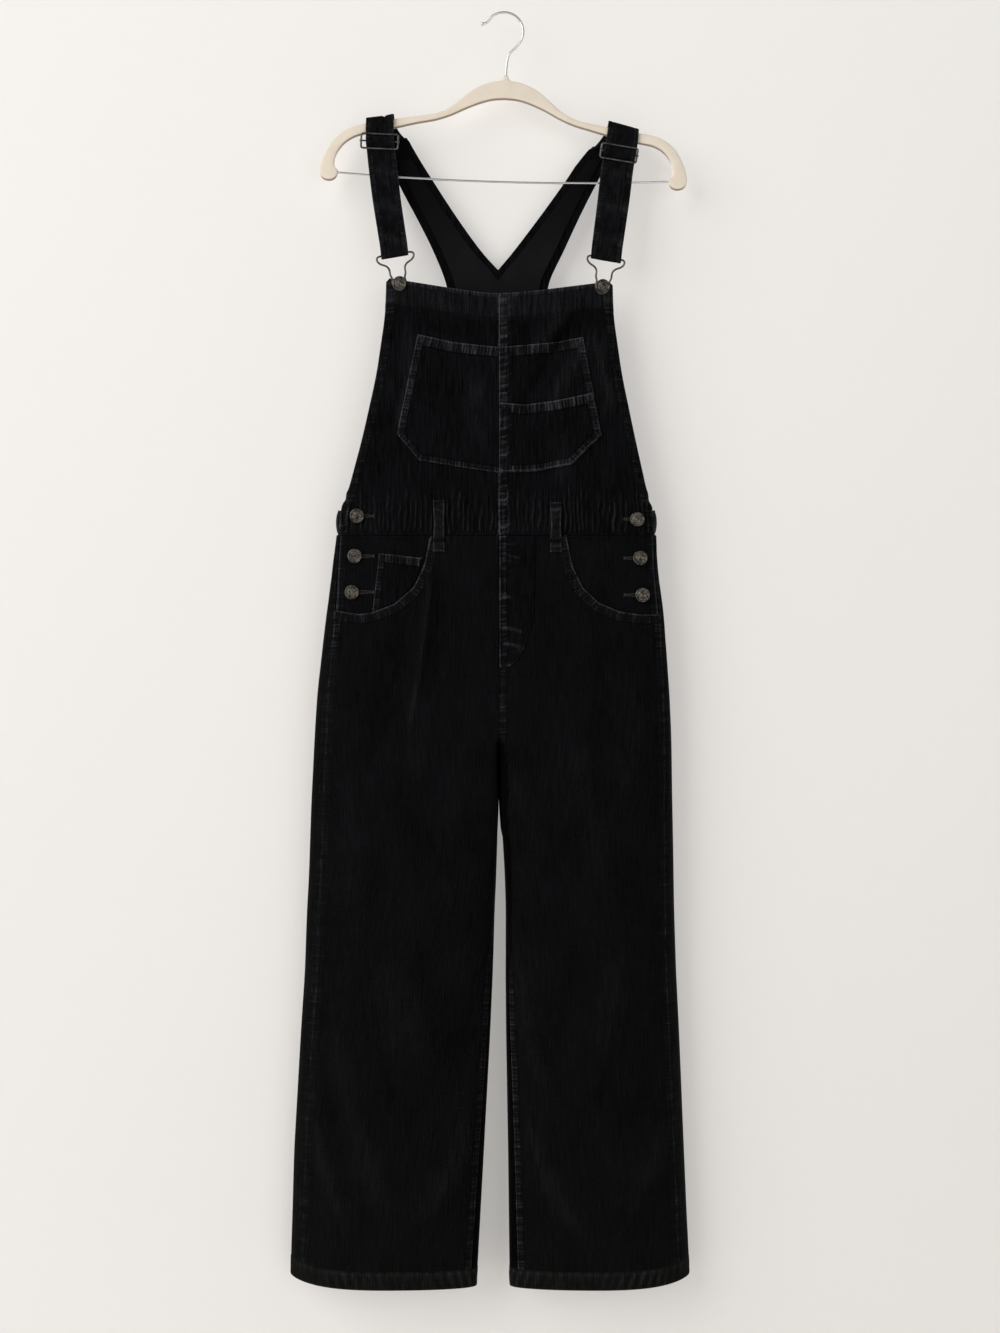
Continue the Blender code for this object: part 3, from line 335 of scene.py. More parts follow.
DEPTH = np.array([
    # height, front, side fold, inner fold, back, squareness of the inner and outer shoulder
    (-334.0, -13.5, -10.5, -8.0, 13.0, 5.0, 2.4), (-478.0, -17.0, -11.0, -8.0, 15.0, 5.0, 2.2),
    (-587.0, -21.0, -9.0, -6.0, 17.0, 5.0, 2.2), (-634.5, -24.0, -5.0, -4.0, 18.0, 5.0, 2.1),
    (-731.0, -30.0, -3.0, -2.0, 19.5, 5.0, 2.0), (-878.0, -34.0, 1.0, 4.0, 20.5, 5.0, 1.9),
    (-1029.0, -36.0, 3.0, 2.0, 21.0, 4.0, 1.9), (-1164.0, -37.0, 5.0, -3.0, 21.0, 3.0, 1.8),
    (-1383.0, -38.0, 7.0, -9.0, 21.0, 2.5, 1.8), (-1541.0, -38.0, 8.0, -14.0, 21.0, 2.4, 1.8)])
FRONT, SIDE_FOLD, INNER_FOLD, BACK, INNER_SQUARE, OUTER_SQUARE = range(1, 7)
BACK_SQUARE = 3.2
INSEAM_IN, INSEAM_FRONT_Z = {"left": 14.0, "right": 17.0}, -1150.0
SIGN = {"left": -1, "right": 1}
FACE_POINTS, LAP_POINTS, PANEL_GAP = 90, 40, 0.2


def read(table, column, height):
    """One column of a table at a height: straight between rows, its kinks eased over 30 mm."""
    ease = np.array([-15.0, -7.5, 0.0, 7.5, 15.0])
    spread = -(np.asarray(height, float)[..., None] + ease)
    return np.interp(spread, -table[:, 0], table[:, column]).mean(-1)


def face_y(x, height, side, back=False):
    """Depth of the garment's front or back: the fold's y, plus the rise to the face times
    a superellipse of x between the inner end and the side fold. The inner half stays level
    above the fork and sinks to the inner fold below it.
    """
    rows = GIRTH[side]
    inner, outer = read(rows, INNER, height), read(rows, OUTER, height)
    u = np.clip(2 * (x - inner) / (outer - inner) - 1, -1.0, 1.0)
    reach = read(DEPTH, BACK if back else FRONT, height)
    high, low = (FORK_BACK_Z if back else FORK_FRONT_Z), CROTCH_Z
    parted = np.clip((high - height) / (high - low), 0.0, 1.0)
    square = BACK_SQUARE if back else np.where(u < 0, read(DEPTH, INNER_SQUARE, height),
                                               read(DEPTH, OUTER_SQUARE, height))
    level = np.clip(1 - np.abs(u) ** square, 0.0, 1.0) ** (1 / square)
    level = np.where(u < 0, 1 - parted * (1 - level), level)
    side_fold, inner_fold = read(DEPTH, SIDE_FOLD, height), read(DEPTH, INNER_FOLD, height)
    fold = inner_fold + (side_fold - inner_fold) * (u + 1) / 2
    return fold + (reach - fold) * level


def round_leg(side, heights):
    """x, y and length along each level section: out along the front, home along the back,
    and on past the inner end along the front again, so that a seam may lie there. The
    last two are the lengths at which the front and the back end.
    """
    rows, level = GIRTH[side], heights[:, None]
    inner, outer = read(rows, INNER, level), read(rows, OUTER, level)
    turn = np.linspace(-np.pi / 2, np.pi / 2, FACE_POINTS)
    u = np.sign(turn) * np.abs(np.sin(turn)) ** 0.85
    x = inner + (outer - inner) * (u + 1) / 2
    wide = np.broadcast_to(level, x.shape)
    front, back = face_y(x, wide, side), face_y(x, wide, side, back=True)
    x = np.concatenate([x, x[:, -2::-1], x[:, 1:LAP_POINTS]], 1)
    y = np.concatenate([front, back[:, -2::-1], front[:, 1:LAP_POINTS]], 1)
    length = np.concatenate([0 * level, np.cumsum(np.hypot(np.diff(x), np.diff(y)), 1)], 1)
    return x, y, length, length[:, FACE_POINTS - 1], length[:, 2 * FACE_POINTS - 2]


def seam_lengths(side, heights):
    """Where the front's inner edge, the side seam and the back's inner edge lie, as lengths
    along the sections of round_leg.
    """
    x, _, length, front_end, back_end = round_leg(side, heights)
    rows = GIRTH[side]
    seam_x = read(rows, OUTER, heights) - SIGN[side] * read(rows, SEAM_IN, heights)
    outer_half = slice(FACE_POINTS // 2, FACE_POINTS)
    inseam = INSEAM_IN[side] * np.clip((CROTCH_Z - heights) / (CROTCH_Z - INSEAM_FRONT_Z), 0, 1)
    seam = np.array([np.interp(SIGN[side] * at, SIGN[side] * row[outer_half], run[outer_half])
                     for at, row, run in zip(seam_x, x, length)])
    parted = np.where(heights <= CROTCH_Z, PANEL_GAP, 0.0)
    return inseam + parted, np.minimum(seam, front_end), back_end + inseam - parted


def leg_points(side, heights, shares, panel):
    """A grid of x, y and length for shares from 0 to 1 between a panel's two seams."""
    x, y, length, _, back_end = round_leg(side, heights)
    front_from, seam, back_to = seam_lengths(side, heights)
    start, end = {"front": (front_from, seam - PANEL_GAP), "back": (seam + PANEL_GAP, back_to),
                  "ring": (front_from * 0, back_end)}[panel]
    wanted = start[:, None] + (end - start)[:, None] * shares
    grid = [[np.interp(w, run, row) for w, run, row in zip(wanted, length, rows)] for rows in (x, y)]
    return np.stack([*grid, wanted - start[:, None]], -1)


def near(path, x, z):
    """Distance from a line of x, z points, and the length along it, at every x, z."""
    path = np.asarray(path, float)
    best, along, walked = np.full(np.shape(x), 1e9), np.zeros(np.shape(x)), 0.0
    for (x0, z0), (x1, z1) in zip(path[:-1], path[1:]):
        run = np.hypot(x1 - x0, z1 - z0)
        share = np.clip(((x - x0) * (x1 - x0) + (z - z0) * (z1 - z0)) / run ** 2, 0, 1)
        gap = np.hypot(x - x0 - share * (x1 - x0), z - z0 - share * (z1 - z0))
        along = np.where(gap < best, walked + share * run, along)
        best = np.minimum(best, gap)
        walked += run
    return best, along


def ripple(along, pitch, seed):
    """Puckers along a seam: a sine whose phase wanders by two slower sines and whose height
    swells by a third, so that no two are alike.
    """
    wander = 0.9 * np.sin(along / (2.9 * pitch) + seed) + 0.7 * np.sin(along / (1.3 * pitch) + 2 * seed)
    swell = 0.75 + 0.25 * np.sin(along / (4.3 * pitch) + seed)
    return np.sin(2 * np.pi * along / pitch + wander) * swell


FOLD_FALL = 0.35


def turned(distance, hem, rise):
    """Height of a turned edge: double cloth lifts a band as wide as the hem, and the fold
    is rounded off by a fall that fades over its first millimetre.
    """
    return rise * (1 - step(distance, hem - 0.6, hem + 1.6)) - FOLD_FALL * np.exp(-distance / 0.7)


def nearest_seam(*seams):
    """The seam that lies nearest for its width, at every point. Each seam is its distance,
    the length along it, the width it is stitched over and how pale it has gone. Behind a
    seam, where its distance is below 0, another one is taken.
    """
    fields = np.stack([np.stack(np.broadcast_arrays(*seam, seams[0][0])[:4]) for seam in seams])
    reach = np.where(fields[:, 0] < 0, 1e6, fields[:, 0] / fields[:, 2])
    return np.take_along_axis(fields, reach.argmin(0)[None, None], 0)[0]


# The pleat pressed into the left thigh, whose crest has worn a little.
THIGH_PLEAT = ([(-85, -640), (-88, -700), (-93, -750), (-101, -805), (-110, -860), (-117, -915)],
               4.6, 3.4)
LEG_FOLDS = [
    # soft ridges and troughs on the fronts: points down it, half width, height
    ([(-237, -1258), (-225, -1348), (-202, -1427), (-163, -1496)], 13.0, 3.6),
    ([(-202, -1189), (-193, -1288), (-168, -1367), (-133, -1452), (-112, -1505)], 17.0, 3.0),
    ([(-34, -1300), (-49, -1372), (-74, -1422), (-103, -1472)], 15.0, 3.4),
    ([(-29, -1165), (-49, -1239), (-79, -1303), (-118, -1353)], 22.0, -3.4),
    ([(-222, -1150), (-214, -1245), (-196, -1340), (-170, -1405)], 12.0, -2.2),
    ([(-193, -880), (-180, -976), (-175, -1050), (-183, -1130)], 15.0, 2.4),
    THIGH_PLEAT,
    ([(-114, -725), (-124, -800), (-137, -890)], 15.0, -3.2),
    ([(-72, -650), (-77, -740), (-84, -830)], 12.0, -2.6),
    ([(-104, -800), (-97, -872), (-108, -960)], 19.0, 2.2),
    ([(-136, -770), (-146, -850), (-142, -930)], 17.0, -2.6),
    ([(-26, -790), (-40, -880), (-58, -960), (-70, -1050)], 16.0, 1.8),
    ([(-140, -1120), (-118, -1200), (-120, -1290)], 26.0, 2.6),
    ([(12, -1080), (21, -1189), (36, -1258), (70, -1323), (112, -1356)], 14.0, 3.4),
    ([(26, -1300), (41, -1372), (71, -1437), (116, -1494)], 15.0, 3.4),
    ([(48, -1250), (78, -1330), (120, -1400)], 15.0, -2.8),
    ([(211, -1225), (201, -1328), (178, -1397), (146, -1462)], 14.0, 3.4),
    ([(184, -1220), (172, -1310), (140, -1372)], 16.0, -2.4),
    ([(146, -1100), (132, -1200), (108, -1280)], 22.0, 2.4),
    ([(80, -830), (90, -912), (110, -990), (118, -1080)], 20.0, 2.4),
    ([(12, -890), (26, -951), (42, -1000), (52, -1060)], 12.0, 2.0),
    ([(150, -770), (158, -860), (150, -960)], 18.0, 2.4),
    ([(118, -750), (124, -840), (138, -930)], 15.0, -2.2),
    ([(66, -720), (60, -800), (66, -870)], 16.0, -1.4),
]


FOLD_STEP, FOLD_FADE = 12.0, 0.3


def folds(table, x, z):
    """Sum of a table's folds: each is a bell across its line, the height times e to minus
    the square of distance over half width, and fades out over its share of both ends.
    """
    total = np.zeros(np.broadcast(x, z).shape)
    for points, half_width, height in table:
        path = curve_through(points, FOLD_STEP)
        distance, along = near(path, x, z)
        end = np.linalg.norm(np.diff(path, axis=0), axis=1).sum()
        fade = FOLD_FADE * end
        total += height * np.exp(-(distance / half_width) ** 2) * step(along, 0, fade) \
            * step(end - along, 0, fade)
    return total


MOUTH = {
    "left": np.array([(-87.0, -634.8), (-88.6, -643.0), (-95.1, -673.0), (-107.6, -699.0),
                      (-131.2, -719.0), (-158.9, -729.5), (-174.0, -731.0), (-190.0, -728.5),
                      (-207.0, -725.5)]),
    "right": np.array([(76.2, -634.8), (77.2, -643.0), (83.2, -673.0), (95.8, -699.3),
                       (115.1, -717.5), (140.1, -728.0), (165.7, -731.5), (192.0, -731.0)]),
}
CLEFT = np.array([
    # height, and the x between which the legs part, where shade is painted on the nap
    (-880.0, -4.9, -4.2), (-888.0, -8.3, 1.6), (-912.0, -7.9, 5.2), (-936.0, -7.0, 7.0),
    (-954.0, -6.2, 6.6), (-969.0, -5.0, 5.4), (-990.0, -4.6, 6.9), (-1014.0, -4.6, 9.6),
    (-1050.0, -4.6, 10.6), (-1541.0, -4.6, 10.6)])
CLEFT_ENDS = {"left": (-985.0, -965.0), "right": (-1200.0, -1060.0)}
INSEAM_PALE, ABOVE_FORK = {"left": 0.48, "right": 0.62}, {"left": 0.05, "right": 0.5}
CLOTH, SEAM_GAP, LIFT = 1.5, 0.3, 0.5
LEG_LOW_Z = HEM_Z + HEM_TALL + 0.15
END_GROWTH = 1.35


def spaced(length, coarse, fine=0.7, ends=(True, True)):
    """Shares from 0 to 1 of a length, every coarse millimetres, closing up at the ends to
    fine ones, each END_GROWTH times the one before it.
    """
    edge = np.cumsum(fine * END_GROWTH ** np.arange(12))
    edge = edge[edge < min(6 * coarse, 0.3 * length)]
    start = np.concatenate([[0.0], edge]) if ends[0] else np.array([0.0])
    finish = length - (np.concatenate([[0.0], edge]) if ends[1] else np.array([0.0]))[::-1]
    count = max(2, int((finish[0] - start[-1]) / coarse) + 1)
    return np.concatenate([start[:-1], np.linspace(start[-1], finish[0], count), finish[1:]]) / length


def raised(points, height, outward):
    """Grid points moved out along the surface's normal, which faces roughly outward."""
    normal = np.cross(np.gradient(points, axis=1), np.gradient(points, axis=0))
    normal /= np.linalg.norm(normal, axis=-1, keepdims=True) + 1e-12
    middle = normal[points.shape[0] // 2, points.shape[1] // 2]
    return points + normal * (np.sign(np.dot(middle, outward)) * height)[..., None]


WELD = 0.001


def sew(name, node, points, wale, seam, wear_and_shade, finish, thick, outward, loop=False, parted=None):
    """A cloth piece: a grid of outer points made a wall, with what its finish reads.

    wale holds millimetres across and along the wales, and on a loop it has one column
    more than points, so that its last faces end where the first begin, a turn later.
    seam is what nearest_seam gives; after it comes rubbing elsewhere, where 1 is bare and
    below 0 the nap is painted dark as shade. A grid parted after a column is cut there, and
    welded again where both sides meet.
    """
    rows, columns = points.shape[:2]
    faces = grid_faces(rows, columns, loop)
    corners = grid_faces(rows, columns + 1 if loop else columns)
    if parted is not None:
        kept = np.arange(len(faces)) % (columns - 1) != parted
        faces, corners = faces[kept], corners[kept]
    middle = (rows // 2, columns // 4)
    normal = np.cross(np.gradient(points, axis=1)[middle], np.gradient(points, axis=0)[middle])
    if np.dot(normal, outward) < 0:
        faces, corners = faces[:, ::-1], corners[:, ::-1]
    mesh = bpy.data.meshes.new(name)
    mesh.from_pydata((points.reshape(-1, 3) * MM).tolist(), [], faces.tolist())
    mesh.uv_layers.new(name="wale").data.foreach_set(
        "uv", wale.reshape(-1, 2)[corners.ravel()].astype(np.float32).ravel())
    beside = mesh.attributes.new("seam", "FLOAT_VECTOR", "POINT")
    beside.data.foreach_set("vector", np.stack(seam[:3], -1).astype(np.float32).ravel())
    for label, values in (("pale", seam[3]), ("wear_and_shade", np.clip(wear_and_shade, -1, 1.2))):
        layer = mesh.attributes.new(label, "FLOAT", "POINT")
        values = np.broadcast_to(values, (rows, columns))
        layer.data.foreach_set("value", values.astype(np.float32).ravel())
    if parted is not None:
        shape = bmesh.new()
        shape.from_mesh(mesh)
        bmesh.ops.remove_doubles(shape, verts=shape.verts, dist=WELD * MM)
        shape.to_mesh(mesh)
        shape.free()
    mesh.update()
    mesh.shade_smooth()
    mesh.materials.append(finish.material)
    piece = bpy.data.objects.new(name, mesh)
    bpy.context.scene.collection.objects.link(piece)
    wall = piece.modifiers.new("wall", "SOLIDIFY")
    wall.thickness = thick * MM
    wall.offset = -1.0
    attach(piece, "root")
    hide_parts(node)
    return piece


WALE_PITCH, PUCKER_PITCH = 3.0, 4.3
WARMER_Z = (-1020.0, -1400.0)
WORN = (0.046, 0.047, 0.053, 1)
# The dark end of the nap's tone, used for the nap's own darkest streaks and for painted shade.
DARK_NAP_AND_SHADE = (0.15, (1.15, 1.1, 0.85))
COOL_NAP, WARM_NAP = (1.85, (0.98, 1.0, 1.02)), (1.85, (1.04, 1.04, 0.90))


def corduroy(name, base, streaks, grain, blotches=0.2):
    """Fine-wale cotton corduroy: rounded wales of pile along V of the wale map, a cosine of
    U over the pitch, brushed in long streaks, grainy and clouded, and warmer towards the
    hems. Beside a seam the cloth puckers between its two rows of stitches, a cosine of the
    length along it, and the fold and the puckers' crests go pale with rubbing. Just past the
    hem a dark line is painted as its shadow, and the piece's rubbing values below 0 paint
    shade on the nap.
    """
    cloth = Finish(name, 1.0, specular=0.02)
    cloth.shader.inputs["Sheen Weight"].default_value = 0.012
    cloth.shader.inputs["Sheen Roughness"].default_value = 0.4
    lay = cloth.node("UVMap", {"uv_map": "wale"})

    def field(across, along, detail=3.0, rough=0.6):
        """Noise about 0 that changes over that many millimetres across and along."""
        place = cloth.node("Mapping", {}, {"Vector": lay, "Scale": (1 / across, 1 / along, 0)})
        return cloth.noise(place, 1.0, detail, rough) - 0.5

    def nap(share, tint):
        """The base colour times a share and a tint."""
        return tuple(share * part * more for part, more in zip(base, tint)) + (1,)

    drift = field(20.0, 60.0, 1.0)
    turn = cloth.node("SeparateXYZ", {}, {"Vector": lay}) * (2 * np.pi / WALE_PITCH) + drift * 9.0
    rib = cloth.node("Math", {"operation": "COSINE"}, {0: turn})
    pile = field(1.6, 2.4, 3.0, 0.7)
    brushed = field(2.8, 34.0, 2.0)
    # Rubbing where above 0; below 0 it is painted shade, which pulls the tone down to the dark nap.
    worn_and_shaded = cloth.node("Attribute", {"attribute_name": "wear_and_shade"}, out="Fac")
    tone = rib * 0.12 + brushed * streaks + pile * grain + field(9.0, 15.0, 2.0) * blotches \
        + field(46.0, 80.0) * 0.7 + worn_and_shaded * 0.5 + 0.5
    low = cloth.node("SeparateXYZ", {}, {"Vector": lay}).other("Y").held(*WARMER_Z)
    dark = nap(*DARK_NAP_AND_SHADE)
    colour = cloth.blend(tone, dark, cloth.blend(low, nap(*COOL_NAP), nap(*WARM_NAP)))

    nearest = cloth.node("Attribute", {"attribute_name": "seam"}, out="Vector")
    beside = cloth.node("SeparateXYZ", {}, {"Vector": nearest})
    along, hem = beside.other("Y"), beside.other("Z")
    slow, quick = (cloth.node("TexNoise", {"noise_dimensions": "1D"}, {"W": along * rate, "Scale": 1.0})
                   for rate in (0.11, 0.27))
    wave = cloth.node("Math", {"operation": "COSINE"},
                      {0: along * (2 * np.pi / PUCKER_PITCH) + slow * 11.0 + beside * 0.14})
    crest = wave.held(-0.5, 0.95) * quick.held(0.3, 0.66)
    patchy = slow.held(0.36, 0.64)
    inside = 1.0 - (beside - hem).held(-0.9, 0.5)
    fold = 1.0 - beside.held(0.5, 1.9)
    # A dark line is painted just past each hem as the shadow of its step.
    painted_ditch_shadow = 1.0 - cloth.node("Math", {"operation": "ABSOLUTE"}, {0: beside - hem - 0.5}).held(0.3, 1.5)
    pale = cloth.node("Attribute", {"attribute_name": "pale"}, out="Fac")
    nap_tone = pale * (fold * (slow * 0.9 + 0.12) + crest * inside * 0.46 + patchy * inside * 0.26) + worn_and_shaded
    nap_tone = nap_tone * (pile * 1.8 + brushed * 2.2 + 0.9)
    colour = cloth.blend(painted_ditch_shadow * pale * (0.9 - patchy * 0.5), colour, dark)
    cloth.feed("Base Color", cloth.blend(nap_tone.held(0.0, 1.1), colour, WORN))
    cloth.bump(rib * 0.12 + pile * 0.2 + crest * inside * pale * 0.5 - painted_ditch_shadow * pale * 0.3, 0.001, 0.8)
    return cloth


black_corduroy = corduroy("black_corduroy", (0.0028, 0.0029, 0.0034), 0.8, 1.7)
MOUTH_HEM, SIDE_FELL, INNER_FELL = 11.0, 9.0, 8.5
HEM_RISE, RISE_STARTS = 7.5, 1450.0
WAIST_TUCK, TUCK_ACROSS, TUCK_DEEP = 1.9, 1.7, 2.2
BELOW_MOUTH_Z, ROW_STEP = -800.0, 4.0
TO_VIEWER, TO_WALL = (0, -1, 0), (0, 1, 0)


def hem_rise(x, height, side):
    """How far the outer fold draws the cloth up at the hem: the fourth power of the share of
    the way from the leg's middle to its outer end.
    """
    inner, outer = read(GIRTH[side], INNER, height), read(GIRTH[side], OUTER, height)
    return HEM_RISE * np.clip(2 * (x - inner) / (outer - inner) - 1, 0, 1) ** 4


def under_waist(z):
    """1 at the waist seam, where the legs go in under what is above, and 0 below it."""
    return 1 - step(WAIST_Z - z, 1.2, 4.0)


def tucked(from_seam, z, fork, x, height):
    """x and height of a right panel: above the fork its inner edge goes in under the left
    one's, as in a felled seam.
    """
    tuck = (1 - step(from_seam, 0.8, 3.6)) * step(z, *fork)
    return x - TUCK_ACROSS * tuck, height - TUCK_DEEP * tuck


for side in ("left", "right"):
    heights = np.arange(WAIST_Z, LEG_LOW_Z - 2.5, -2.5)
    shares = spaced(232.0, 3.2)
    flat = leg_points(side, heights, shares, "front")
    # Each column starts at the waist or the pocket mouth. Its top is found by going halfway,
    # again and again, to the mouth's height at the x where the column then starts.
    mouth_x, mouth_z = np.abs(MOUTH[side]).T
    tops = np.full(len(shares), -690.0)
    for _ in range(24):
        top_x = np.array([np.interp(-top, -heights, column) for top, column in zip(tops, flat[..., 0].T)])
        at_mouth = -np.interp(np.abs(top_x), mouth_x, mouth_z)
        tops = 0.5 * (tops + np.minimum(at_mouth, WAIST_Z - SEAM_GAP))
    # Below the mouth the rows lie level; above it they fan out to the columns' tops.
    upper = spaced(120.0, 3.0, ends=(True, False))[:, None]
    level = np.append(np.arange(BELOW_MOUTH_Z - ROW_STEP, LEG_LOW_Z, -ROW_STEP), LEG_LOW_Z)[:, None]
    wanted = np.concatenate([tops + (BELOW_MOUTH_Z - tops) * upper, level + 0 * tops])
    x, y, run = (np.stack([np.interp(-w, -heights, column) for w, column in zip(wanted.T, layer.T)], -1)
                 for layer in np.moveaxis(flat, -1, 0))
    z = wanted + hem_rise(x, wanted, side) * step(-wanted, RISE_STARTS, -LEG_LOW_Z)
    to_side = run[:, -1:] - run
    to_mouth, along_mouth = near(MOUTH[side], x, z)
    gather = ripple(x, 8.5, 3.0) * np.exp(-np.clip(WAIST_Z - z, 0, None) / 16.0) \
        * step(120.0 - np.abs(x + 5), 0, 40)
    fold = folds(LEG_FOLDS, x, z) * step(to_side, 0, 22) * step(run, -4, 18) * step(to_mouth, 0, 14)
    cleft_hollow = np.exp(-(run / 9.0) ** 2) * step(-z, 872, 900) * step(z, -1010, -960)
    height = (turned(to_mouth, MOUTH_HEM, 0.5) - WAIST_TUCK * under_waist(z)
              + turned(to_side, SIDE_FELL, 0.4) + turned(run, INNER_FELL, 0.2) + 0.9 * gather
              + 1.6 * fold - 3.0 * cleft_hollow)
    side_pale = 0.26 + 0.45 * step(z, -800, -738)
    inner_pale = INSEAM_PALE[side] + (ABOVE_FORK[side] - INSEAM_PALE[side]) * step(z, -1000, -900)
    seam = nearest_seam((to_mouth, along_mouth, MOUTH_HEM, 0.5), (to_side, -z, SIDE_FELL, side_pale),
                        (run, -z, INNER_FELL, inner_pale))
    # Where the legs part, the shade between them is painted on the nap, dark and never pale.
    edge_x = np.interp(-z, -CLEFT[:, 0], CLEFT[:, OUTER if side == "left" else INNER])
    cleft = step(SIGN[side] * (edge_x - x), -0.8, 1.2) * step(-z, 878, 890) * step(z, *CLEFT_ENDS[side])
    seam[3] *= 1 - cleft
    if side == "right":
        x, height = tucked(run, z, (-990, -968), x, height)
    points = raised(np.stack([x, y, z], -1), height, TO_VIEWER)
    # Gathers, the pleat's crest and the mouth's rim go pale with rubbing. Folds go pale on their ridges and
    # are painted dark as shade in their troughs, and the cleft is painted dark as shade.
    nap_shift = (0.25 * step(gather, 0.2, 1) + 0.035 * fold - 1.0 * cleft
            + 0.012 * folds([THIGH_PLEAT], x, z) + 0.26 * np.exp(-(to_mouth / 1.5) ** 2))
    front = sew(f"front_leg_panel_{side}", f"front_leg_{side}", points,
                np.stack([run - 0.45 * run[:, -1:], z], -1), seam, nap_shift, black_corduroy, CLOTH,
                TO_VIEWER)


# ---------------------------------------------------------------------------------------
# Back legs. Like the fronts, but wider: they come round the side fold to the front, and
# at the inner leg too, below the crotch. The seat seam runs down the middle.
BACK_FOLDS = [
    # points down it, half width, height
    ([(-210, -1240), (-196, -1350), (-170, -1440), (-130, -1500)], 15.0, 3.0),
    ([(-40, -1290), (-62, -1380), (-100, -1460)], 16.0, 3.0),
    ([(-150, -1080), (-128, -1180), (-118, -1280)], 24.0, -2.6),
    ([(-60, -760), (-84, -840), (-120, -930), (-140, -1020)], 16.0, 3.2),
    ([(-30, -820), (-50, -900), (-90, -990)], 15.0, -2.6),
    ([(-150, -700), (-160, -800), (-152, -900)], 18.0, 2.2),
    ([(28, -1280), (52, -1370), (92, -1450), (120, -1500)], 15.0, 3.2),
    ([(196, -1260), (184, -1360), (150, -1450)], 15.0, 2.8),
    ([(120, -1060), (104, -1180), (98, -1270)], 24.0, -2.4),
    ([(50, -750), (70, -840), (100, -930), (112, -1010)], 16.0, 3.0),
    ([(22, -830), (44, -910), (76, -985)], 14.0, -2.4),
    ([(140, -690), (150, -790), (140, -900)], 18.0, 2.2),
]
GATHERED = 40.0
for side in ("left", "right"):
    top_rows = WAIST_Z - SEAM_GAP - GATHERED * spaced(GATHERED, 3.0, ends=(True, False))[:-1]
    heights = np.concatenate([top_rows, np.arange(WAIST_Z - GATHERED - 1.0, LEG_LOW_Z, -4.2), [LEG_LOW_Z]])
    x, y, run = np.moveaxis(leg_points(side, heights, spaced(275.0, 3.6), "back"), -1, 0)
    level = heights[:, None] + 0 * x
    z = level + hem_rise(x, level, side) * step(-level, RISE_STARTS, -LEG_LOW_Z)
    to_inner = run[:, -1:] - run
    gather = ripple(x, 8.0, 6.0) * np.exp(-(WAIST_Z - z) / 22.0)
    behind = step(y, 2.0, 14.0)
    height = (turned(run, SIDE_FELL, 0.4) - WAIST_TUCK * under_waist(z) * behind
              + turned(to_inner, INNER_FELL, 0.4) + 1.1 * gather * behind
              + folds(BACK_FOLDS, x, z) * behind * step(run, 0, 30) * step(to_inner, 0, 24))
    if side == "right":
        x, height = tucked(to_inner, z, (-1010, -990), x, height)
    seam = nearest_seam((run, -z, SIDE_FELL, 0.3), (to_inner, -z, INNER_FELL, 0.4))
    points = raised(np.stack([x, y, z], -1), height, TO_WALL)
    # The inner band near the crotch is painted dark as shade; gather crests go pale with rubbing.
    back = sew(f"back_leg_panel_{side}", f"back_leg_{side}", points,
               np.stack([run - 0.5 * run[:, -1:], z], -1), seam,
               0.25 * step(gather, 0.2, 1) - 0.8 * step(to_inner, 24, 6) * step(-z, 900, 1040),
               black_corduroy, CLOTH, TO_WALL)


# ---------------------------------------------------------------------------------------
# Leg hems. The leg's end is turned up twice and stitched down, a ring of double cloth
# that ropes: it twists into slanting ridges, rubbed pale on their crests and at the fold,
# with shade painted dark in the hollows between them.
hem_cloth = corduroy("hem_cloth", (0.0040, 0.0041, 0.0045), 0.8, 1.3, blotches=0.5)
HEM_OUT, HEM_PARTS, LAP = 0.35, 210, 3
for side in ("left", "right"):
    heights = HEM_Z + HEM_TALL * (1 - spaced(HEM_TALL, 1.6, 0.6))
    shares = np.linspace(0, 1, HEM_PARTS + 1)[:-1]
    flat = leg_points(side, heights, shares, "ring")
    # The ring is lapped over its own start while its normals are found, and cut again.
    x, y, run = (np.concatenate([layer[:, -LAP:], layer, layer[:, :LAP]], 1)
                 for layer in np.moveaxis(flat, -1, 0))
    level = heights[:, None] + 0 * x
    z = level + hem_rise(x, level, side)
    down = HEM_Z + HEM_TALL - level
    rope = ripple(run + 0.35 * down + 3.0 * np.sin(run / 17.0), 10.5, 2.0 + SIGN[side]) \
        * (0.6 + 0.4 * np.sin(run / 23.0 + 1.0))
    middle = np.sin(np.pi * np.clip(down / HEM_TALL, 0, 1)) ** 0.7
    height = (HEM_OUT + 0.5 * rope * middle - 0.35 * np.exp(-((down - 3.4) / 0.9) ** 2)
              - 0.5 * np.exp(-(HEM_TALL - down) / 0.8) - 0.35 * np.exp(-down / 0.7))
    # Crests and both folds go pale with rubbing; the hollows between the ridges are painted dark as shade.
    nap_tone = (0.02 + 0.20 * step(rope, -0.2, 0.8) * middle + 0.12 * np.exp(-((down - 3.0) / 3.0) ** 2)
              + 0.14 * np.exp(-((HEM_TALL - down) / 2.0) ** 2) - 0.10 * step(-rope, 0.1, 0.7) * middle)
    seam = nearest_seam((HEM_TALL - down, run, 20.0, 0.2))
    points = raised(np.stack([x, y, z], -1), height, TO_VIEWER)[:, LAP:-LAP]
    all_round = float(flat[0, -1, 2] * HEM_PARTS / (HEM_PARTS - 1))
    grain = np.stack(np.broadcast_arrays(np.linspace(0, all_round, HEM_PARTS + 1), heights[:, None]), -1)
    hem = sew(f"turned_hem_{side}", f"leg_hem_{side}", points, grain, seam[..., LAP:-LAP],
              nap_tone[:, LAP:-LAP], hem_cloth, 2 * CLOTH, TO_VIEWER, loop=True)


# ---------------------------------------------------------------------------------------
# Side panels behind the pocket mouths. They carry the side opening: three buttonholes are
# worked in the front's edge and the buttons stand in them.
CENTRE_X = -4.9


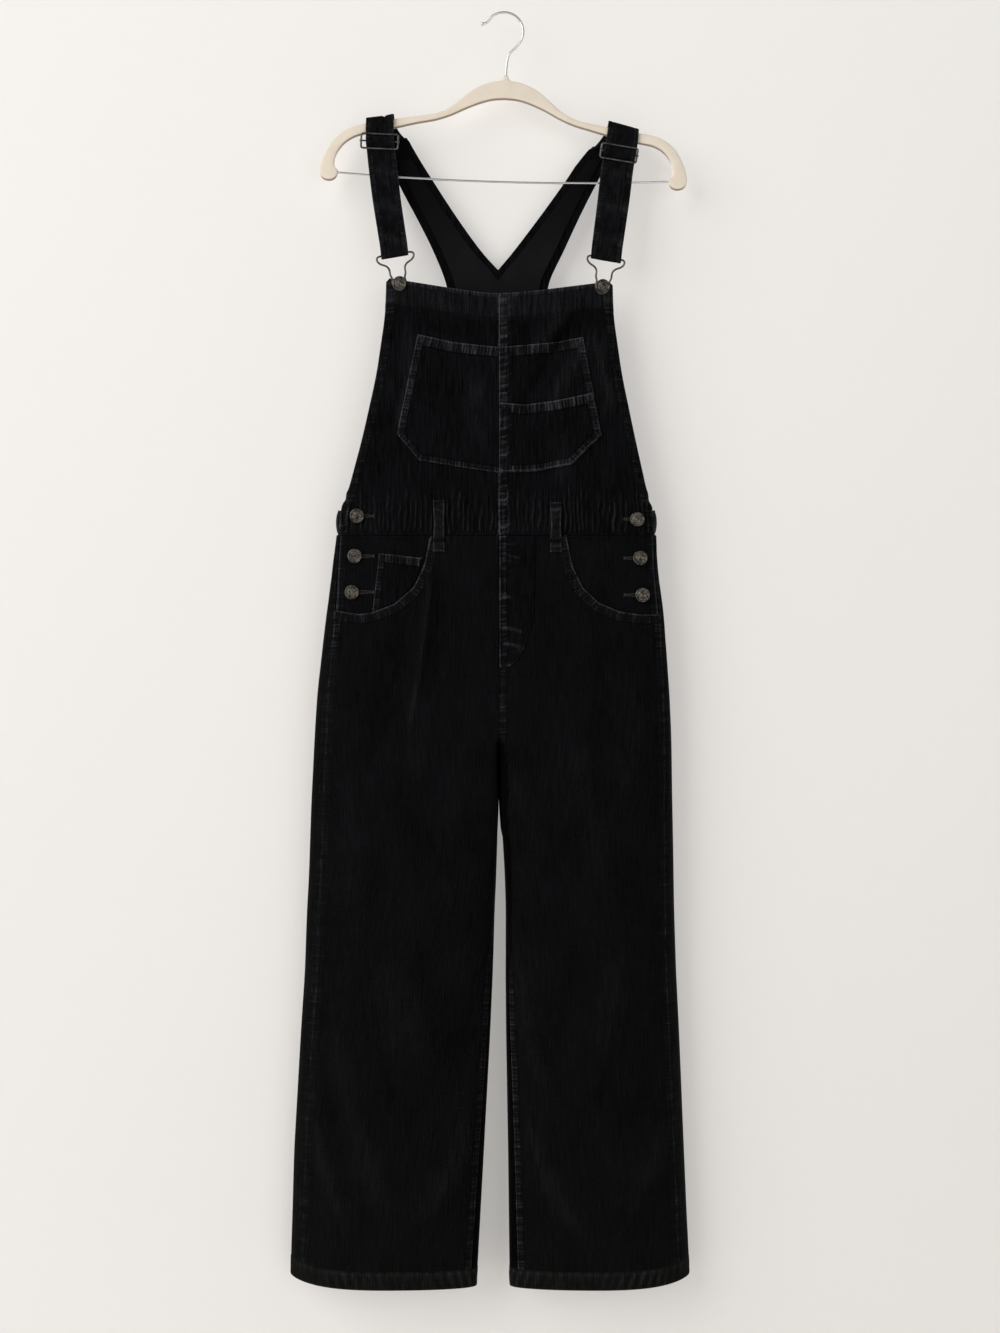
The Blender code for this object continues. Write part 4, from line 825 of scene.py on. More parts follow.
def front_y(x, z):
    """Depth of the garment's front at x and z, on either side of the centre seam."""
    return np.where(x < CENTRE_X, face_y(x, z, "left"), face_y(x, z, "right"))


def on_front(x, z, out, table):
    """Points of the front at x and z, with a table's folds, moved out by out millimetres."""
    return raised(np.stack([x, front_y(x, z), z], -1), folds(table, x, z) + out, TO_VIEWER)


SIDE_PANEL_IN, SIDE_PANEL_LOW = CLOTH + 0.6, -744.0
SIDE_PANEL_X, PAST_SEAM, ROPE_IN = {"left": -80.0, "right": 69.0}, 2.6, 5.0
for side in ("left", "right"):
    across, down = spaced(122.0, 2.6), spaced(110.0, 2.6)[:, None]
    z = WAIST_Z - SEAM_GAP + (SIDE_PANEL_LOW - WAIST_Z) * down
    rows = GIRTH[side]
    seam_x = read(rows, OUTER, z) - SIGN[side] * (read(rows, SEAM_IN, z) - PAST_SEAM)
    x = SIDE_PANEL_X[side] + (seam_x - SIDE_PANEL_X[side]) * across
    z = z + 0 * x
    to_side, to_waist = np.abs(seam_x - x), WAIST_Z - z
    seam = nearest_seam((np.abs(to_side - 4.0) + 0.3, -z, SIDE_FELL, 0.34), (to_waist, x, 4.0, 0.15))
    # The felled side seam ropes up beside the panel's edge and is rubbed on its crest.
    rope = 0.9 * np.exp(-((to_side - ROPE_IN) / 1.8) ** 2)
    points = on_front(x, z, turned(to_waist, 4.0, 0.2) - SIDE_PANEL_IN + rope, [])
    panel = sew(f"hip_panel_{side}", f"side_panel_{side}", points, np.stack([x, z], -1), seam,
                0.3 * np.exp(-((to_side - ROPE_IN + 0.6) / 1.3) ** 2), black_corduroy, CLOTH,
                TO_VIEWER)


# ---------------------------------------------------------------------------------------
# Coin pocket. A small patch on the left side panel; its mouth is hemmed and its lower
# edge goes in under the curve of the big pocket's mouth.
trim_corduroy = corduroy("trim_corduroy", (0.00265, 0.00275, 0.0033), 1.5, 1.3, blotches=0.3)
COIN_TOP = np.array([(-97.8, -663.5), (-149.4, -657.5)])
COIN_LOW = np.array([(-98.2, -662.3), (-103.1, -684.4), (-112.1, -699.9), (-123.6, -711.4),
                     (-138.6, -720.4), (-157.1, -727.4)])
COIN_HEM, COIN_SIDE, COIN_STAND, THIN_CLOTH = 10.5, 7.5, 1.1, 1.1
across, down = spaced(56.0, 1.8), spaced(68.0, 1.8)[:, None, None]
high = COIN_TOP[0] + (COIN_TOP[1] - COIN_TOP[0]) * across[:, None]
low_shares = np.linspace(0, 1, len(COIN_LOW))
low = np.stack([np.interp(across, low_shares, column) for column in COIN_LOW.T], -1)
x, z = np.moveaxis(high * (1 - down) + low * down, -1, 0)
to_mouth, along_mouth = near(COIN_TOP, x, z)
to_side, along_side = near([COIN_TOP[1], COIN_LOW[-1]], x, z)
seam = nearest_seam((to_mouth, along_mouth, COIN_HEM, 0.8), (to_side, along_side, COIN_SIDE, 0.6))
height = turned(to_mouth, COIN_HEM, 0.4) + turned(to_side, COIN_SIDE, 0.2) + COIN_STAND + LIFT
points = on_front(x, z, height - SIDE_PANEL_IN, [])
coin = sew("coin_pocket_patch", "coin_pocket", points, np.stack([x, z], -1), seam, 0 * x,
           trim_corduroy, THIN_CLOTH, TO_VIEWER)


# ---------------------------------------------------------------------------------------
# Mock fly. A flap folded at the centre seam and held by the J of double stitching, which
# draws the cloth into level puckers.
FLY_X, FLY_WIDE, FLY_TOP_Z, FLY_STAND, FLY_CLOTH = -4.3, 42.7, -637.0, 1.0, 1.0
FLY_LOW = np.array([(-4.9, -795.8), (8.0, -793.5), (17.0, -787.0), (26.0, -772.0), (33.5, -748.0),
                    (37.2, -728.0), (38.4, -706.0)])
FLY_PUCKERS = [
    # where it lies, half width, how high it stands
    (-646.0, 2.6, 0.5), (-653.0, 2.0, 0.4), (-661.0, 2.2, 0.6), (-668.0, 1.8, 0.5), (-679.0, 2.4, 0.4),
    (-690.0, 2.0, 0.35), (-704.0, 1.8, 0.5), (-712.0, 2.2, 0.8), (-722.0, 1.6, 0.4), (-730.0, 2.0, 0.55),
    (-737.0, 1.8, 0.5), (-750.0, 2.4, 0.8), (-760.0, 1.6, 0.35), (-769.0, 2.4, 0.8), (-777.0, 1.8, 0.5),
    (-785.0, 1.8, 0.6), (-791.0, 1.6, 0.6)]
across, down = spaced(FLY_WIDE, 1.8), spaced(150.0, 2.0)[:, None]
x = FLY_X + FLY_WIDE * across + 0 * down
low_z = np.interp(x, *FLY_LOW.T)
z = FLY_TOP_Z + (low_z - FLY_TOP_Z) * down
to_curve, along_curve = near(FLY_LOW - (0.6, 0), x, z)
# Each pucker is a bell across a level line that leans and wavers, and comes and goes along it.
pucker = sum(
    tall * np.exp(-((z - at + 0.1 * (x - 10) + 1.6 * np.sin(x / 7.0 + at)) / wide) ** 2)
    * step(np.sin(x / 9.0 + 1.7 * at), -1.1, 0.3) for at, wide, tall in FLY_PUCKERS)
pucker = 1.25 * pucker * step(x, FLY_X + 1, FLY_X + 5) * step(34.0 - x, 0, 14)
height = (turned(x - FLY_X, 3.5, 0.4) + turned(to_curve, 7.0, -0.1) + pucker + FLY_STAND + LIFT
          - 0.35 * step(x, FLY_X + FLY_WIDE - 8, FLY_X + FLY_WIDE))
points = on_front(x, z, height, LEG_FOLDS)
seam = nearest_seam((x - FLY_X, -0.7 * z, 9.0, 0.62 + 0.12 * np.sin(z / 13.0)),
                    (to_curve, along_curve, 6.0, 0.05 + 0.3 * step(-z, 780, 794)))
fly = sew("mock_fly", "fly", points, np.stack([x, z], -1), seam, 0.42 * step(pucker, 0.1, 0.9) - 0.04,
          trim_corduroy, FLY_CLOTH, TO_VIEWER)


# ---------------------------------------------------------------------------------------
# Bib. Two halves felled together down the middle, with a deep hem along the top, turned
# sides, and an elastic casing at the foot that gathers the cloth over the waist seam.
BIB_TOP_Z, BIB_CORNER_RISE, CORNER_ROUND = -342.6, {"left": 19.1, "right": 14.9}, 4.5
BIB_HEM, BIB_SIDE_HEM, CASING_Z = 33.0, 11.0, -593.5
STRIP_WIDE, STRIP_PALE, SECOND_ROW_PALE = 10.5, 0.95, 0.285
WAIST_LAP, BELOW_OPENING_Z = 1.2, -603.0
BIB_FOLDS = [
    # points down it, half width, height
    ([(104, -352), (74, -392), (50, -432), (27, -476), (12, -500)], 6.0, -3.4),
    ([(118, -380), (92, -415), (66, -462), (44, -510)], 11.0, 1.6),
    ([(84, -358), (58, -386), (30, -425)], 9.0, 1.4),
    ([(-108, -346), (-84, -378), (-40, -392), (-8, -398)], 8.0, -1.4),
    ([(-46, -378), (-24, -384), (-8, -389)], 3.4, -1.6),
    ([(3, -376), (20, -380), (44, -388)], 3.4, -1.4),
    ([(-122, -352), (-112, -410), (-118, -470), (-140, -540)], 10.0, 1.5),
    ([(-100, -378), (-60, -404), (-22, -412)], 9.0, 1.0),
    ([(118, -352), (120, -430), (138, -510), (150, -570)], 10.0, 1.6),
    ([(-136, -470), (-150, -530), (-166, -580)], 8.0, -1.3),
    ([(132, -470), (142, -530), (156, -580)], 8.0, -1.3),
    ([(-30, -420), (-34, -480), (-26, -540)], 16.0, 1.2),
    ([(60, -500), (72, -540), (64, -585)], 12.0, 1.2),
]
POCKET_TOP = np.array([(-103.1, -392.8), (-60.0, -402.8), (CENTRE_X, -408.5), (55.0, -403.5),
                       (96.5, -396.4)])
POCKET_LOW = np.array([(-127.9, -513.4), (-101.4, -545.4), (-40.0, -555.5), (CENTRE_X, -560.5),
                       (40.0, -559.0), (83.2, -550.9), (118.9, -514.7)])


def gathers(x, z):
    """Height of the casing's gathers: upright ripples of uneven pitch that die out above
    the casing.
    """
    leaned = x + 1.0 * np.sin(z / 12.0 + x / 13.0) + 0.5 * np.sin(z / 4.3 + x / 5.0)
    fine = np.sin(2 * np.pi * leaned / 6.0 + 1.5 * np.sin(x / 13.0) + 0.9 * np.sin(x / 5.3 + 2.0))
    amount = 0.8 + 0.3 * np.sin(x / 9.0) * np.sin(x / 4.1 + 1.0) + 0.12 * np.sin(x / 2.3)
    reach = 5.0 + 7.0 * np.sin(x / 3.1 + 1.0) + 6.0 * np.sin(x / 11.0)
    ends = step(z - WAIST_Z, 0.5, 5.0 + 3.0 * np.sin(x / 4.7)) * (1 - step(z - CASING_Z - reach, -6, 8))
    return 1.05 * fine * amount * ends * (1 - 0.5 * np.exp(-((z - CASING_Z) / 1.5) ** 2))


def strip_seams(x, z):
    """The felled centre strip as two seams side by side: its fold on the left, and the
    second row that a felling foot leaves beside it, each at a distance from x.
    """
    across = x - CENTRE_X
    beyond = across - STRIP_WIDE
    return ((across, -0.5 * z, STRIP_WIDE, STRIP_PALE),
            (beyond, -0.5 * z + 2.0, 0.5 * STRIP_WIDE, SECOND_ROW_PALE))


def on_strip(x):
    """1 on the felled strip, up to its width right of the centre seam, and 0 beyond it."""
    return 1 - step(x - CENTRE_X, STRIP_WIDE - 0.8, STRIP_WIDE + 0.6)


for side in ("left", "right"):
    across, down = spaced(165.0, 1.3), spaced(280.0, 2.4)[:, None]
    # The top sags from its corners to the centre seam and is rounded at the corner.
    top = BIB_TOP_Z + BIB_CORNER_RISE[side] * (np.hypot(across, 0.2) - 0.2) / 0.82
    top = top - CORNER_ROUND * step(across, 0.955, 1.0) ** 2
    z = top + (WAIST_Z - WAIST_LAP - top) * down
    rows = GIRTH[side]
    inner_x = read(rows, INNER, z)
    seam_in = np.where(z < BELOW_OPENING_Z, read(rows, SEAM_IN, z), 0)
    limit = np.abs(read(rows, OUTER, z) - inner_x) - seam_in
    x = inner_x + SIGN[side] * across * limit
    y = face_y(x, z, side)
    to_top, to_side, to_waist = top - z, limit * (1 - across), z - WAIST_Z + WAIST_LAP
    gather = gathers(x, z)
    casing_row = np.exp(-((z - CASING_Z) / 1.0) ** 2)
    hem_row = np.exp(-((to_top - BIB_HEM) / 0.8) ** 2)
    fold = folds(BIB_FOLDS, x, z) * step(to_side, 0, 10)
    height = (turned(to_top, BIB_HEM, 0.4) + turned(to_side, BIB_SIDE_HEM, 0.45)
              + turned(to_waist, 3.0, 0.0) - 0.5 * casing_row + gather + 1.8 * fold)
    seams = [(to_side, -z, BIB_SIDE_HEM, 0.4), (to_waist, x, 3.0, 0.14), (to_top, x, 5.0, 0.55)]
    if side == "left":
        seams.append((CENTRE_X - x, -z, 1.6, 0.6))
        strip_rise = 0.0
    else:
        seams += strip_seams(x, z)
        strip_rise = 0.9 * on_strip(x)
    height = height + strip_rise - 0.4 * hem_row
    # Rubbing pales the hem band, the gather crests, the rows and the folds' ridges; the gathers' hollows
    # and the folds' troughs are painted dark as shade.
    wear_and_shade = np.maximum.reduce([0.16 * (1 - step(to_top, BIB_HEM - 6, BIB_HEM)) + 0 * x,
                              0.31 * step(gather, 0.1, 1.05), 0.10 * casing_row, 0.08 * hem_row])
    wear_and_shade = wear_and_shade + 0.11 * fold - 0.10 * step(-gather, 0.1, 0.9)
    points = raised(np.stack([x, y, z], -1), height, TO_VIEWER)
    bib = sew(f"bib_half_{side}", f"bib_{side}", points, np.stack([x, z], -1), nearest_seam(*seams), wear_and_shade,
              trim_corduroy, CLOTH, TO_VIEWER)


# ---------------------------------------------------------------------------------------
# Bib pockets. A wide patch in two halves that meet in the centre seam, and a lower patch
# over its right half. Mouths are hemmed; sides and foot are double stitched and rope.
def patch(name, node, left, right, top, low, out, edges, strip):
    """A patch on the bib between two slanting sides and its top and bottom lines, out
    millimetres in front of it. left and right give each side's x at the top and the foot.

    edges holds the lines that are hemmed: points, width of the hem, its rise and paleness.
    """
    across, down = spaced(110.0, 2.0), spaced(150.0, 2.0)[:, None]
    x_top = left[0] + (right[0] - left[0]) * across
    x_low = left[1] + (right[1] - left[1]) * across
    z_top, z_low = np.interp(x_top, *top.T), np.interp(x_low, *low.T)
    x, z = x_top + (x_low - x_top) * down, z_top + (z_low - z_top) * down
    height, seams = out + CLOTH + 0 * x, []
    for line, hem, rise, pale in edges:
        distance, along = near(line, x, z)
        height = height + turned(distance, hem, rise)
        seams.append((distance, along, hem, pale))
    if strip:
        seams += strip_seams(x, z)
        height = height + 0.8 * on_strip(x)
    points = on_front(x, z, height, BIB_FOLDS)
    # Its folds go pale with rubbing on their ridges and are painted dark as shade in their troughs.
    made = sew(name, node, points, np.stack([x, z], -1), nearest_seam(*seams),
               0.11 * folds(BIB_FOLDS, x, z), trim_corduroy, CLOTH, TO_VIEWER)
    return made


LEFT_OF_SEAM, RIGHT_OF_SEAM = CENTRE_X - SEAM_GAP / 2, CENTRE_X + SEAM_GAP / 2
POCKET_LEFT = np.array([POCKET_TOP[0], POCKET_LOW[0]])
POCKET_RIGHT = np.array([POCKET_TOP[-1], POCKET_LOW[-1]])
MOUTH_EDGE, FOOT_EDGE = (POCKET_TOP, 12.0, 0.5, 0.9), (POCKET_LOW, 7.0, 0.3, 0.66)
pocket_left = patch("bib_patch_left", "bib_pocket_left", POCKET_LEFT[:, 0], (LEFT_OF_SEAM, LEFT_OF_SEAM),
                    POCKET_TOP, POCKET_LOW, LIFT,
                    [MOUTH_EDGE, (POCKET_LEFT, 8.5, 0.3, 0.62), FOOT_EDGE], False)
pocket_right = patch("bib_patch_right", "bib_pocket_right", (RIGHT_OF_SEAM, RIGHT_OF_SEAM),
                     POCKET_RIGHT[:, 0], POCKET_TOP, POCKET_LOW, LIFT,
                     [MOUTH_EDGE, (POCKET_RIGHT, 8.5, 0.3, 0.62), FOOT_EDGE], True)
SMALL_TOP = np.array([(CENTRE_X, -475.8), (25.3, -478.5), (60.0, -474.5), (108.3, -464.2)])
SMALL_LOW = np.array([(CENTRE_X, -559.3), (40.0, -558.0), (82.6, -550.0), (117.9, -514.0)])
SMALL_SIDE, SMALL_LEFT_X = np.array([(107.4, -464.4), (117.9, -514.0)]), -4.0
pocket_small = patch("bib_patch_small", "bib_pocket_small", (SMALL_LEFT_X, SMALL_LEFT_X),
                     SMALL_SIDE[:, 0], SMALL_TOP, SMALL_LOW, 2 * LIFT + CLOTH,
                     [(SMALL_TOP, 11.5, 0.5, 1.0), (SMALL_SIDE, 8.0, 0.3, 0.8),
                      (SMALL_LOW, 7.0, 0.3, 0.8)], True)


# ---------------------------------------------------------------------------------------
# Belt loops. Folded strips over the waist seam, bar tacked at both ends and slack between,
# so that they are rubbed pale.
LOOPS = {
    # left edge, right edge, top, foot
    "left": (-84.3, -70.3, -593.7, -655.8), "right": (56.5, 70.3, -596.1, -656.2)}
for side, (from_x, to_x, high, low) in LOOPS.items():
    across, down = spaced(14.0, 1.0, 0.4), spaced(62.0, 1.3, 0.5)[:, None]
    z = high + (low - high) * down + 0 * across
    pinch = 1.3 * np.exp(-((down - 0.45) / 0.22) ** 2)
    x = from_x + pinch + (to_x - from_x - 1.6 * pinch) * across + 0 * z
    slack = 1.7 * np.sin(np.pi * np.clip(down / 0.8, 0, 1)) ** 0.6
    slack = slack + 0.9 * np.exp(-((down - 0.9) / 0.07) ** 2)
    from_edge = (to_x - from_x) * np.minimum(across, 1 - across) + 0 * z
    folded = -0.8 * np.exp(-from_edge / 0.8) - 0.3 * np.exp(-((from_edge - 3.0) / 0.8) ** 2)
    crumple = 0.4 * ripple(z + 0.12 * x + 1.2 * np.sin(x / 3.0), 9.5, 3.0 + from_x)
    tacks = sum(np.exp(-((z - at) / 1.6) ** 2) for at in (high - 3.0, low + 3.5, low + 12.5))
    points = on_front(x, z, LIFT + CLOTH + slack + folded + crumple - 0.5 * tacks, [])
    # It is rubbed most where it stands out: near the top and over the seam at its foot. It is
    # darker at its tacks, and a dark band is painted as shadow just above the upper tack at its foot.
    nap_shift = 0.2 + 0.8 * np.exp(-((down - 0.08) / 0.16) ** 2) + 0.45 * np.exp(-((down - 0.9) / 0.12) ** 2)
    nap_tone = (0.10 + 0.38 * nap_shift * step(crumple, -0.05, 0.4) * (0.4 + 0.6 * step(from_edge, 1.0, 4.0))
              + 0.26 * np.exp(-(from_edge / 1.6) ** 2) - 0.25 * tacks
              - 0.5 * np.exp(-((z - low - 13.5) / 1.6) ** 2) + 0.12 * (1 - step(z, low, low + 11)))
    seam = nearest_seam((from_edge, -z, 3.0, 0.2))
    loop = sew(f"loop_strip_{side}", f"belt_loop_{side}", points, np.stack([x, z], -1), seam, nap_tone,
               hem_cloth, CLOTH, TO_VIEWER)


# ---------------------------------------------------------------------------------------
# Back waistband. A double band with elastic in it, gathered, joining the back bib to the
# seat; its ends stand out beyond the bib at both sides.
BAND_TOP, BAND_LEFT_X, BAND_RIGHT_X = -604.0, -201.4, 185.2
left_x = np.linspace(BAND_LEFT_X, CENTRE_X, 200)
right_x = np.linspace(CENTRE_X, BAND_RIGHT_X, 190)[1:]
band_x = np.concatenate([left_x, right_x])
band_y = np.concatenate([face_y(left_x, WAIST_Z + 0 * left_x, "left", back=True),
                         face_y(right_x, WAIST_Z + 0 * right_x, "right", back=True)])
band_run = np.concatenate([[0.0], np.cumsum(np.hypot(np.diff(band_x), np.diff(band_y)))])
wanted = band_run[-1] * spaced(float(band_run[-1]), 2.0)
down = spaced(30.5, 1.6, 0.5)[:, None]
x = np.interp(wanted, band_run, band_x) + 0 * down
y = np.interp(wanted, band_run, band_y) + 0 * down
z = BAND_TOP + (WAIST_Z - WAIST_LAP - BAND_TOP) * down + 0 * x
gather = ripple(wanted, 7.4, 2.0) * (0.6 + 0.4 * np.sin(wanted / 40.0)) * np.sin(np.pi * down) ** 0.5
edge = np.minimum(z - WAIST_Z + WAIST_LAP, BAND_TOP - z)
height = 0.9 * gather - 0.4 * np.exp(-edge / 0.8) - 0.4 * np.exp(-((edge - 3.0) / 0.9) ** 2)
# The ends are rounded: they stand out furthest at the middle of the band's height.
swell = 3.6 * np.sin(np.pi * np.clip(down * 0.9 + 0.06, 0, 1)) ** 0.7 - 2.2
x = x + swell * (np.exp((wanted - band_run[-1]) / 5.0) - np.exp(-wanted / 5.0))
points = raised(np.stack([x, y, z], -1), height, TO_WALL)
ends = np.exp(-np.minimum(wanted, band_run[-1] - wanted) / 2.5)
nap_tone = np.maximum.reduce([0.3 * step(gather, 0.2, 0.9), 0.2 * np.exp(-(edge / 1.5) ** 2),
                            0.6 * ends + 0 * down])
band = sew("back_band", "waistband_back", points, np.stack([wanted + 0 * down, z], -1),
           nearest_seam((edge, wanted + 0 * down, 3.0, 0.3)), nap_tone, trim_corduroy, 2 * CLOTH,
           TO_WALL)


# ---------------------------------------------------------------------------------------
# Shoulder straps. Folded corduroy, double stitched down both edges. Each is sewn to its
# arm of the back, turns over the hanger, weaves through the slider, runs down in front,
# turns round the bib hook's bar and comes back up behind itself to the slider.
STRAP_ROWS = {
    # height, middle x, half width, tilt in degrees
    "left": np.array([(-124.0, -149.0, 17.0, 9.0), (-150.0, -150.0, 17.0, -2.0),
                      (-172.0, -147.5, 17.5, -2.0), (-225.0, -141.5, 17.0, 8.0),
                      (-297.0, -130.2, 16.5, 9.9)]),
    "right": np.array([(-136.0, 147.0, 19.0, -17.0), (-162.0, 144.0, 19.5, -10.0),
                       (-184.0, 139.0, 19.5, -9.5), (-225.0, 134.5, 19.3, -9.0),
                       (-302.0, 123.8, 18.4, -10.0)]),
}
STRAP_MIDDLE, STRAP_REACH, STRAP_TILT = 1, 2, 3
STRAP_STAND, STRAP_DRIFT = {"left": 4.4, "right": 5.6}, {"left": 14.5, "right": -14.5}
STRAP_LOW_Z, SLIDER_Z = {"left": -295.6, "right": -299.9}, {"left": -157.8, "right": -172.0}
STRAP_THICK, STRAP_BEHIND, WIRE = 2.0, {"left": 24.9, "right": 24.8}, 2.4
SLIDER_HALF, SLIDER_Y, HOOK_Y = 8.8, -9.5, -14.2
STRAP_FRONT_Y, STRAP_UNDER_Y = -5.6, -4.6
STRAP_HIGH_Z, STRAP_MID_Z = -205.0, -250.0
OVER_RADIUS, LOOP_RADIUS = HANGER_HALF_THICK + 1.0, WIRE / 2 + 0.9
SHOULDER_POINTS = 17


def hanger_top(x):
    """Height of the hanger's upper edge at x, straight between its outline's points."""
    upper = np.array(HANGER_TOP[:SHOULDER_POINTS])
    edge = np.concatenate([hung(-upper[::-1, 0], upper[::-1, 1]), hung(upper[1:, 0], upper[1:, 1])])
    return float(np.interp(x, *edge.T))


def strap_route(side):
    """y and height of the strap's inner side: from its end sewn to the arm behind the
    hanger, over it in half a turn, through the slider, down in front, round the hook's bar
    in half a turn, and up behind itself to the slider.
    """
    top = hanger_top(STRAP_ROWS[side][0, 1]) + STRAP_STAND[side]
    slider, low = SLIDER_Z[side], STRAP_LOW_Z[side]
    over, under = np.linspace(0, np.pi, 7), np.linspace(np.pi, 2 * np.pi, 6)
    over_bar = SLIDER_Y - WIRE / 2 - 0.5
    return np.array([
        (OVER_RADIUS + 2.2, top - STRAP_BEHIND[side]), (OVER_RADIUS + 1.0, top - 13.0),
        *zip(OVER_RADIUS * np.cos(over), top - OVER_RADIUS + OVER_RADIUS * np.sin(over)),
        (STRAP_FRONT_Y, slider + SLIDER_HALF + 2.0), (STRAP_FRONT_Y, slider + SLIDER_HALF - 1.5),
        (over_bar, slider + 2.0), (over_bar, slider - 2.0),
        (STRAP_FRONT_Y, slider - SLIDER_HALF + 1.5), (STRAP_FRONT_Y, slider - SLIDER_HALF - 3.0),
        (-9.0, STRAP_HIGH_Z), (-12.0, STRAP_MID_Z), (HOOK_Y - LOOP_RADIUS, low + 4.0),
        *zip(HOOK_Y + LOOP_RADIUS * np.cos(under), low + LOOP_RADIUS * np.sin(under)),
        (HOOK_Y + LOOP_RADIUS + 0.1, low + 6.0), (-10.3, STRAP_MID_Z), (-7.6, STRAP_HIGH_Z),
        (STRAP_UNDER_Y, slider - SLIDER_HALF - 3.0), (STRAP_UNDER_Y, slider - 4.5)])


strap_cloth = corduroy("strap_cloth", (0.0038, 0.0039, 0.0046), 1.0, 1.5, blotches=1.5)
STRAP_WAVES = [
    # where it lies, how high it stands
    (-195.0, 0.7), (-218.0, -0.5), (-238.0, 0.8), (-262.0, -0.6), (-278.0, 0.7)]
strap_start = {}
for side in ("left", "right"):
    rows, route = STRAP_ROWS[side], curve_through(strap_route(side), 2.0)
    y, level = route.T[:, :, None]
    run = np.concatenate([[0.0], np.cumsum(np.hypot(*np.diff(route, axis=0).T))])[:, None]
    behind = np.clip((level.max() - level) / STRAP_BEHIND[side], 0, 1) ** 2 * (y > 0)
    middle = read(rows, STRAP_MIDDLE, level) + STRAP_DRIFT[side] * behind
    reach = read(rows, STRAP_REACH, level)
    tilt = np.radians(read(rows, STRAP_TILT, level)) * (1 - behind)
    share = 2 * spaced(35.0, 1.7, 0.5) - 1
    x, z = middle + reach * share * np.cos(tilt), level + reach * share * np.sin(tilt)
    # where it is sewn to the arm: its height there, and the x of its two edges
    strap_start[side] = (z[0].min(), x[0, 0], x[0, -1])
    inner = np.stack(np.broadcast_arrays(x, y, z), -1)
    from_edge = reach * (1 - np.abs(share)) + 0 * x
    waves = sum(tall * np.exp(-((z - at + 4 * share) / 5.0) ** 2) for at, tall in STRAP_WAVES)
    below_slider = step(SLIDER_Z[side] - SLIDER_HALF - 6 - z, 0, 12) * step(z - STRAP_LOW_Z[side], 4, 14)
    # The left one is creased lengthwise where it comes over the hanger.
    creased = step(level, -158.0, -140.0) * (y < 4) if side == "left" else 0.0
    crease = -1.6 * np.exp(-((share - 0.32 - 0.004 * (level + 122)) / 0.09) ** 2)
    crease = creased * (crease + 0.9 * step(share, 0.3, 0.8))
    height = (0.5 * waves * below_slider + crease - 0.5 * np.exp(-from_edge / 0.7)
              - 0.3 * np.exp(-((from_edge - 5.6) / 0.8) ** 2) + 0.12 * ripple(run + 0 * x, 6.0, 2.0))
    points = raised(inner, STRAP_THICK + height, TO_VIEWER)
    # The waves' crests below the slider go pale with rubbing and their hollows are painted dark as shade.
    strap = sew(f"shoulder_strap_{side}", f"strap_{side}", points,
                np.stack([reach * share + 0 * x, run + 0 * x], -1),
                nearest_seam((from_edge, 0.8 * run + 30 * np.sign(share), 6.5, 0.42)),
                0.16 * waves * below_slider + 0.05, strap_cloth, STRAP_THICK, TO_VIEWER)


# ---------------------------------------------------------------------------------------
# Back bib. A wide panel that narrows to two arms about a deep V; its edges are turned to
# the inside and stitched, and its foot is gathered into the back waistband.
NOTCH = (-6.0, -308.6)
BACK_THICK, BACK_HEM, BACK_FOOT_Z = 1.3 * CLOTH, 10.5, -603.7
BACK_EDGES = {
    # height, x, from the waistband up to the top of the arm
    "left": [(BACK_FOOT_Z, -188.0), (-540.0, -152.0), (-480.0, -113.0), (-430.0, -83.0),
             (-385.0, -68.0), (-350.0, -66.0), (-322.0, -70.8), (-285.4, -85.5), (-248.7, -103.8),
             (-212.0, -123.5), (-175.5, -141.0)],
    "right": [(BACK_FOOT_Z, 172.0), (-540.0, 141.0), (-480.0, 102.0), (-430.0, 72.0),
              (-385.0, 56.0), (-350.0, 54.0), (-322.0, 57.4), (-285.4, 74.5), (-248.7, 91.6),
              (-212.0, 110.0), (-175.5, 130.5)],
}
V_EDGES = {
    "left": [(NOTCH[1], NOTCH[0]), (-285.4, -26.9), (-248.7, -53.7), (-212.0, -78.1), (-175.5, -101.3)],
    "right": [(NOTCH[1], NOTCH[0]), (-285.4, 13.4), (-248.7, 41.5), (-212.0, 68.4), (-175.5, 94.0)],
}
BACK_DEPTH = np.array([(-150.0, 8.7), (-200.0, 11.0), (-300.0, 14.0), (-604.0, 18.0)])
ARM_STEP, ARM_OVERLAP = 2.6, 3.5
BACK_BIB_FOLDS = [
    # points down it, half width, height
    ([(-30, -380), (-46, -450), (-78, -530), (-96, -590)], 13.0, 1.8),
    ([(18, -370), (30, -450), (58, -540), (70, -592)], 13.0, 1.6),
    ([(-60, -400), (-88, -470), (-126, -550)], 9.0, -1.2),
    ([(52, -400), (76, -470), (112, -550)], 9.0, -1.2),
    ([(-6, -430), (-4, -500), (-8, -570)], 16.0, 1.4),
    ([(-40, -322), (-20, -352), (10, -372)], 9.0, 0.9),
]


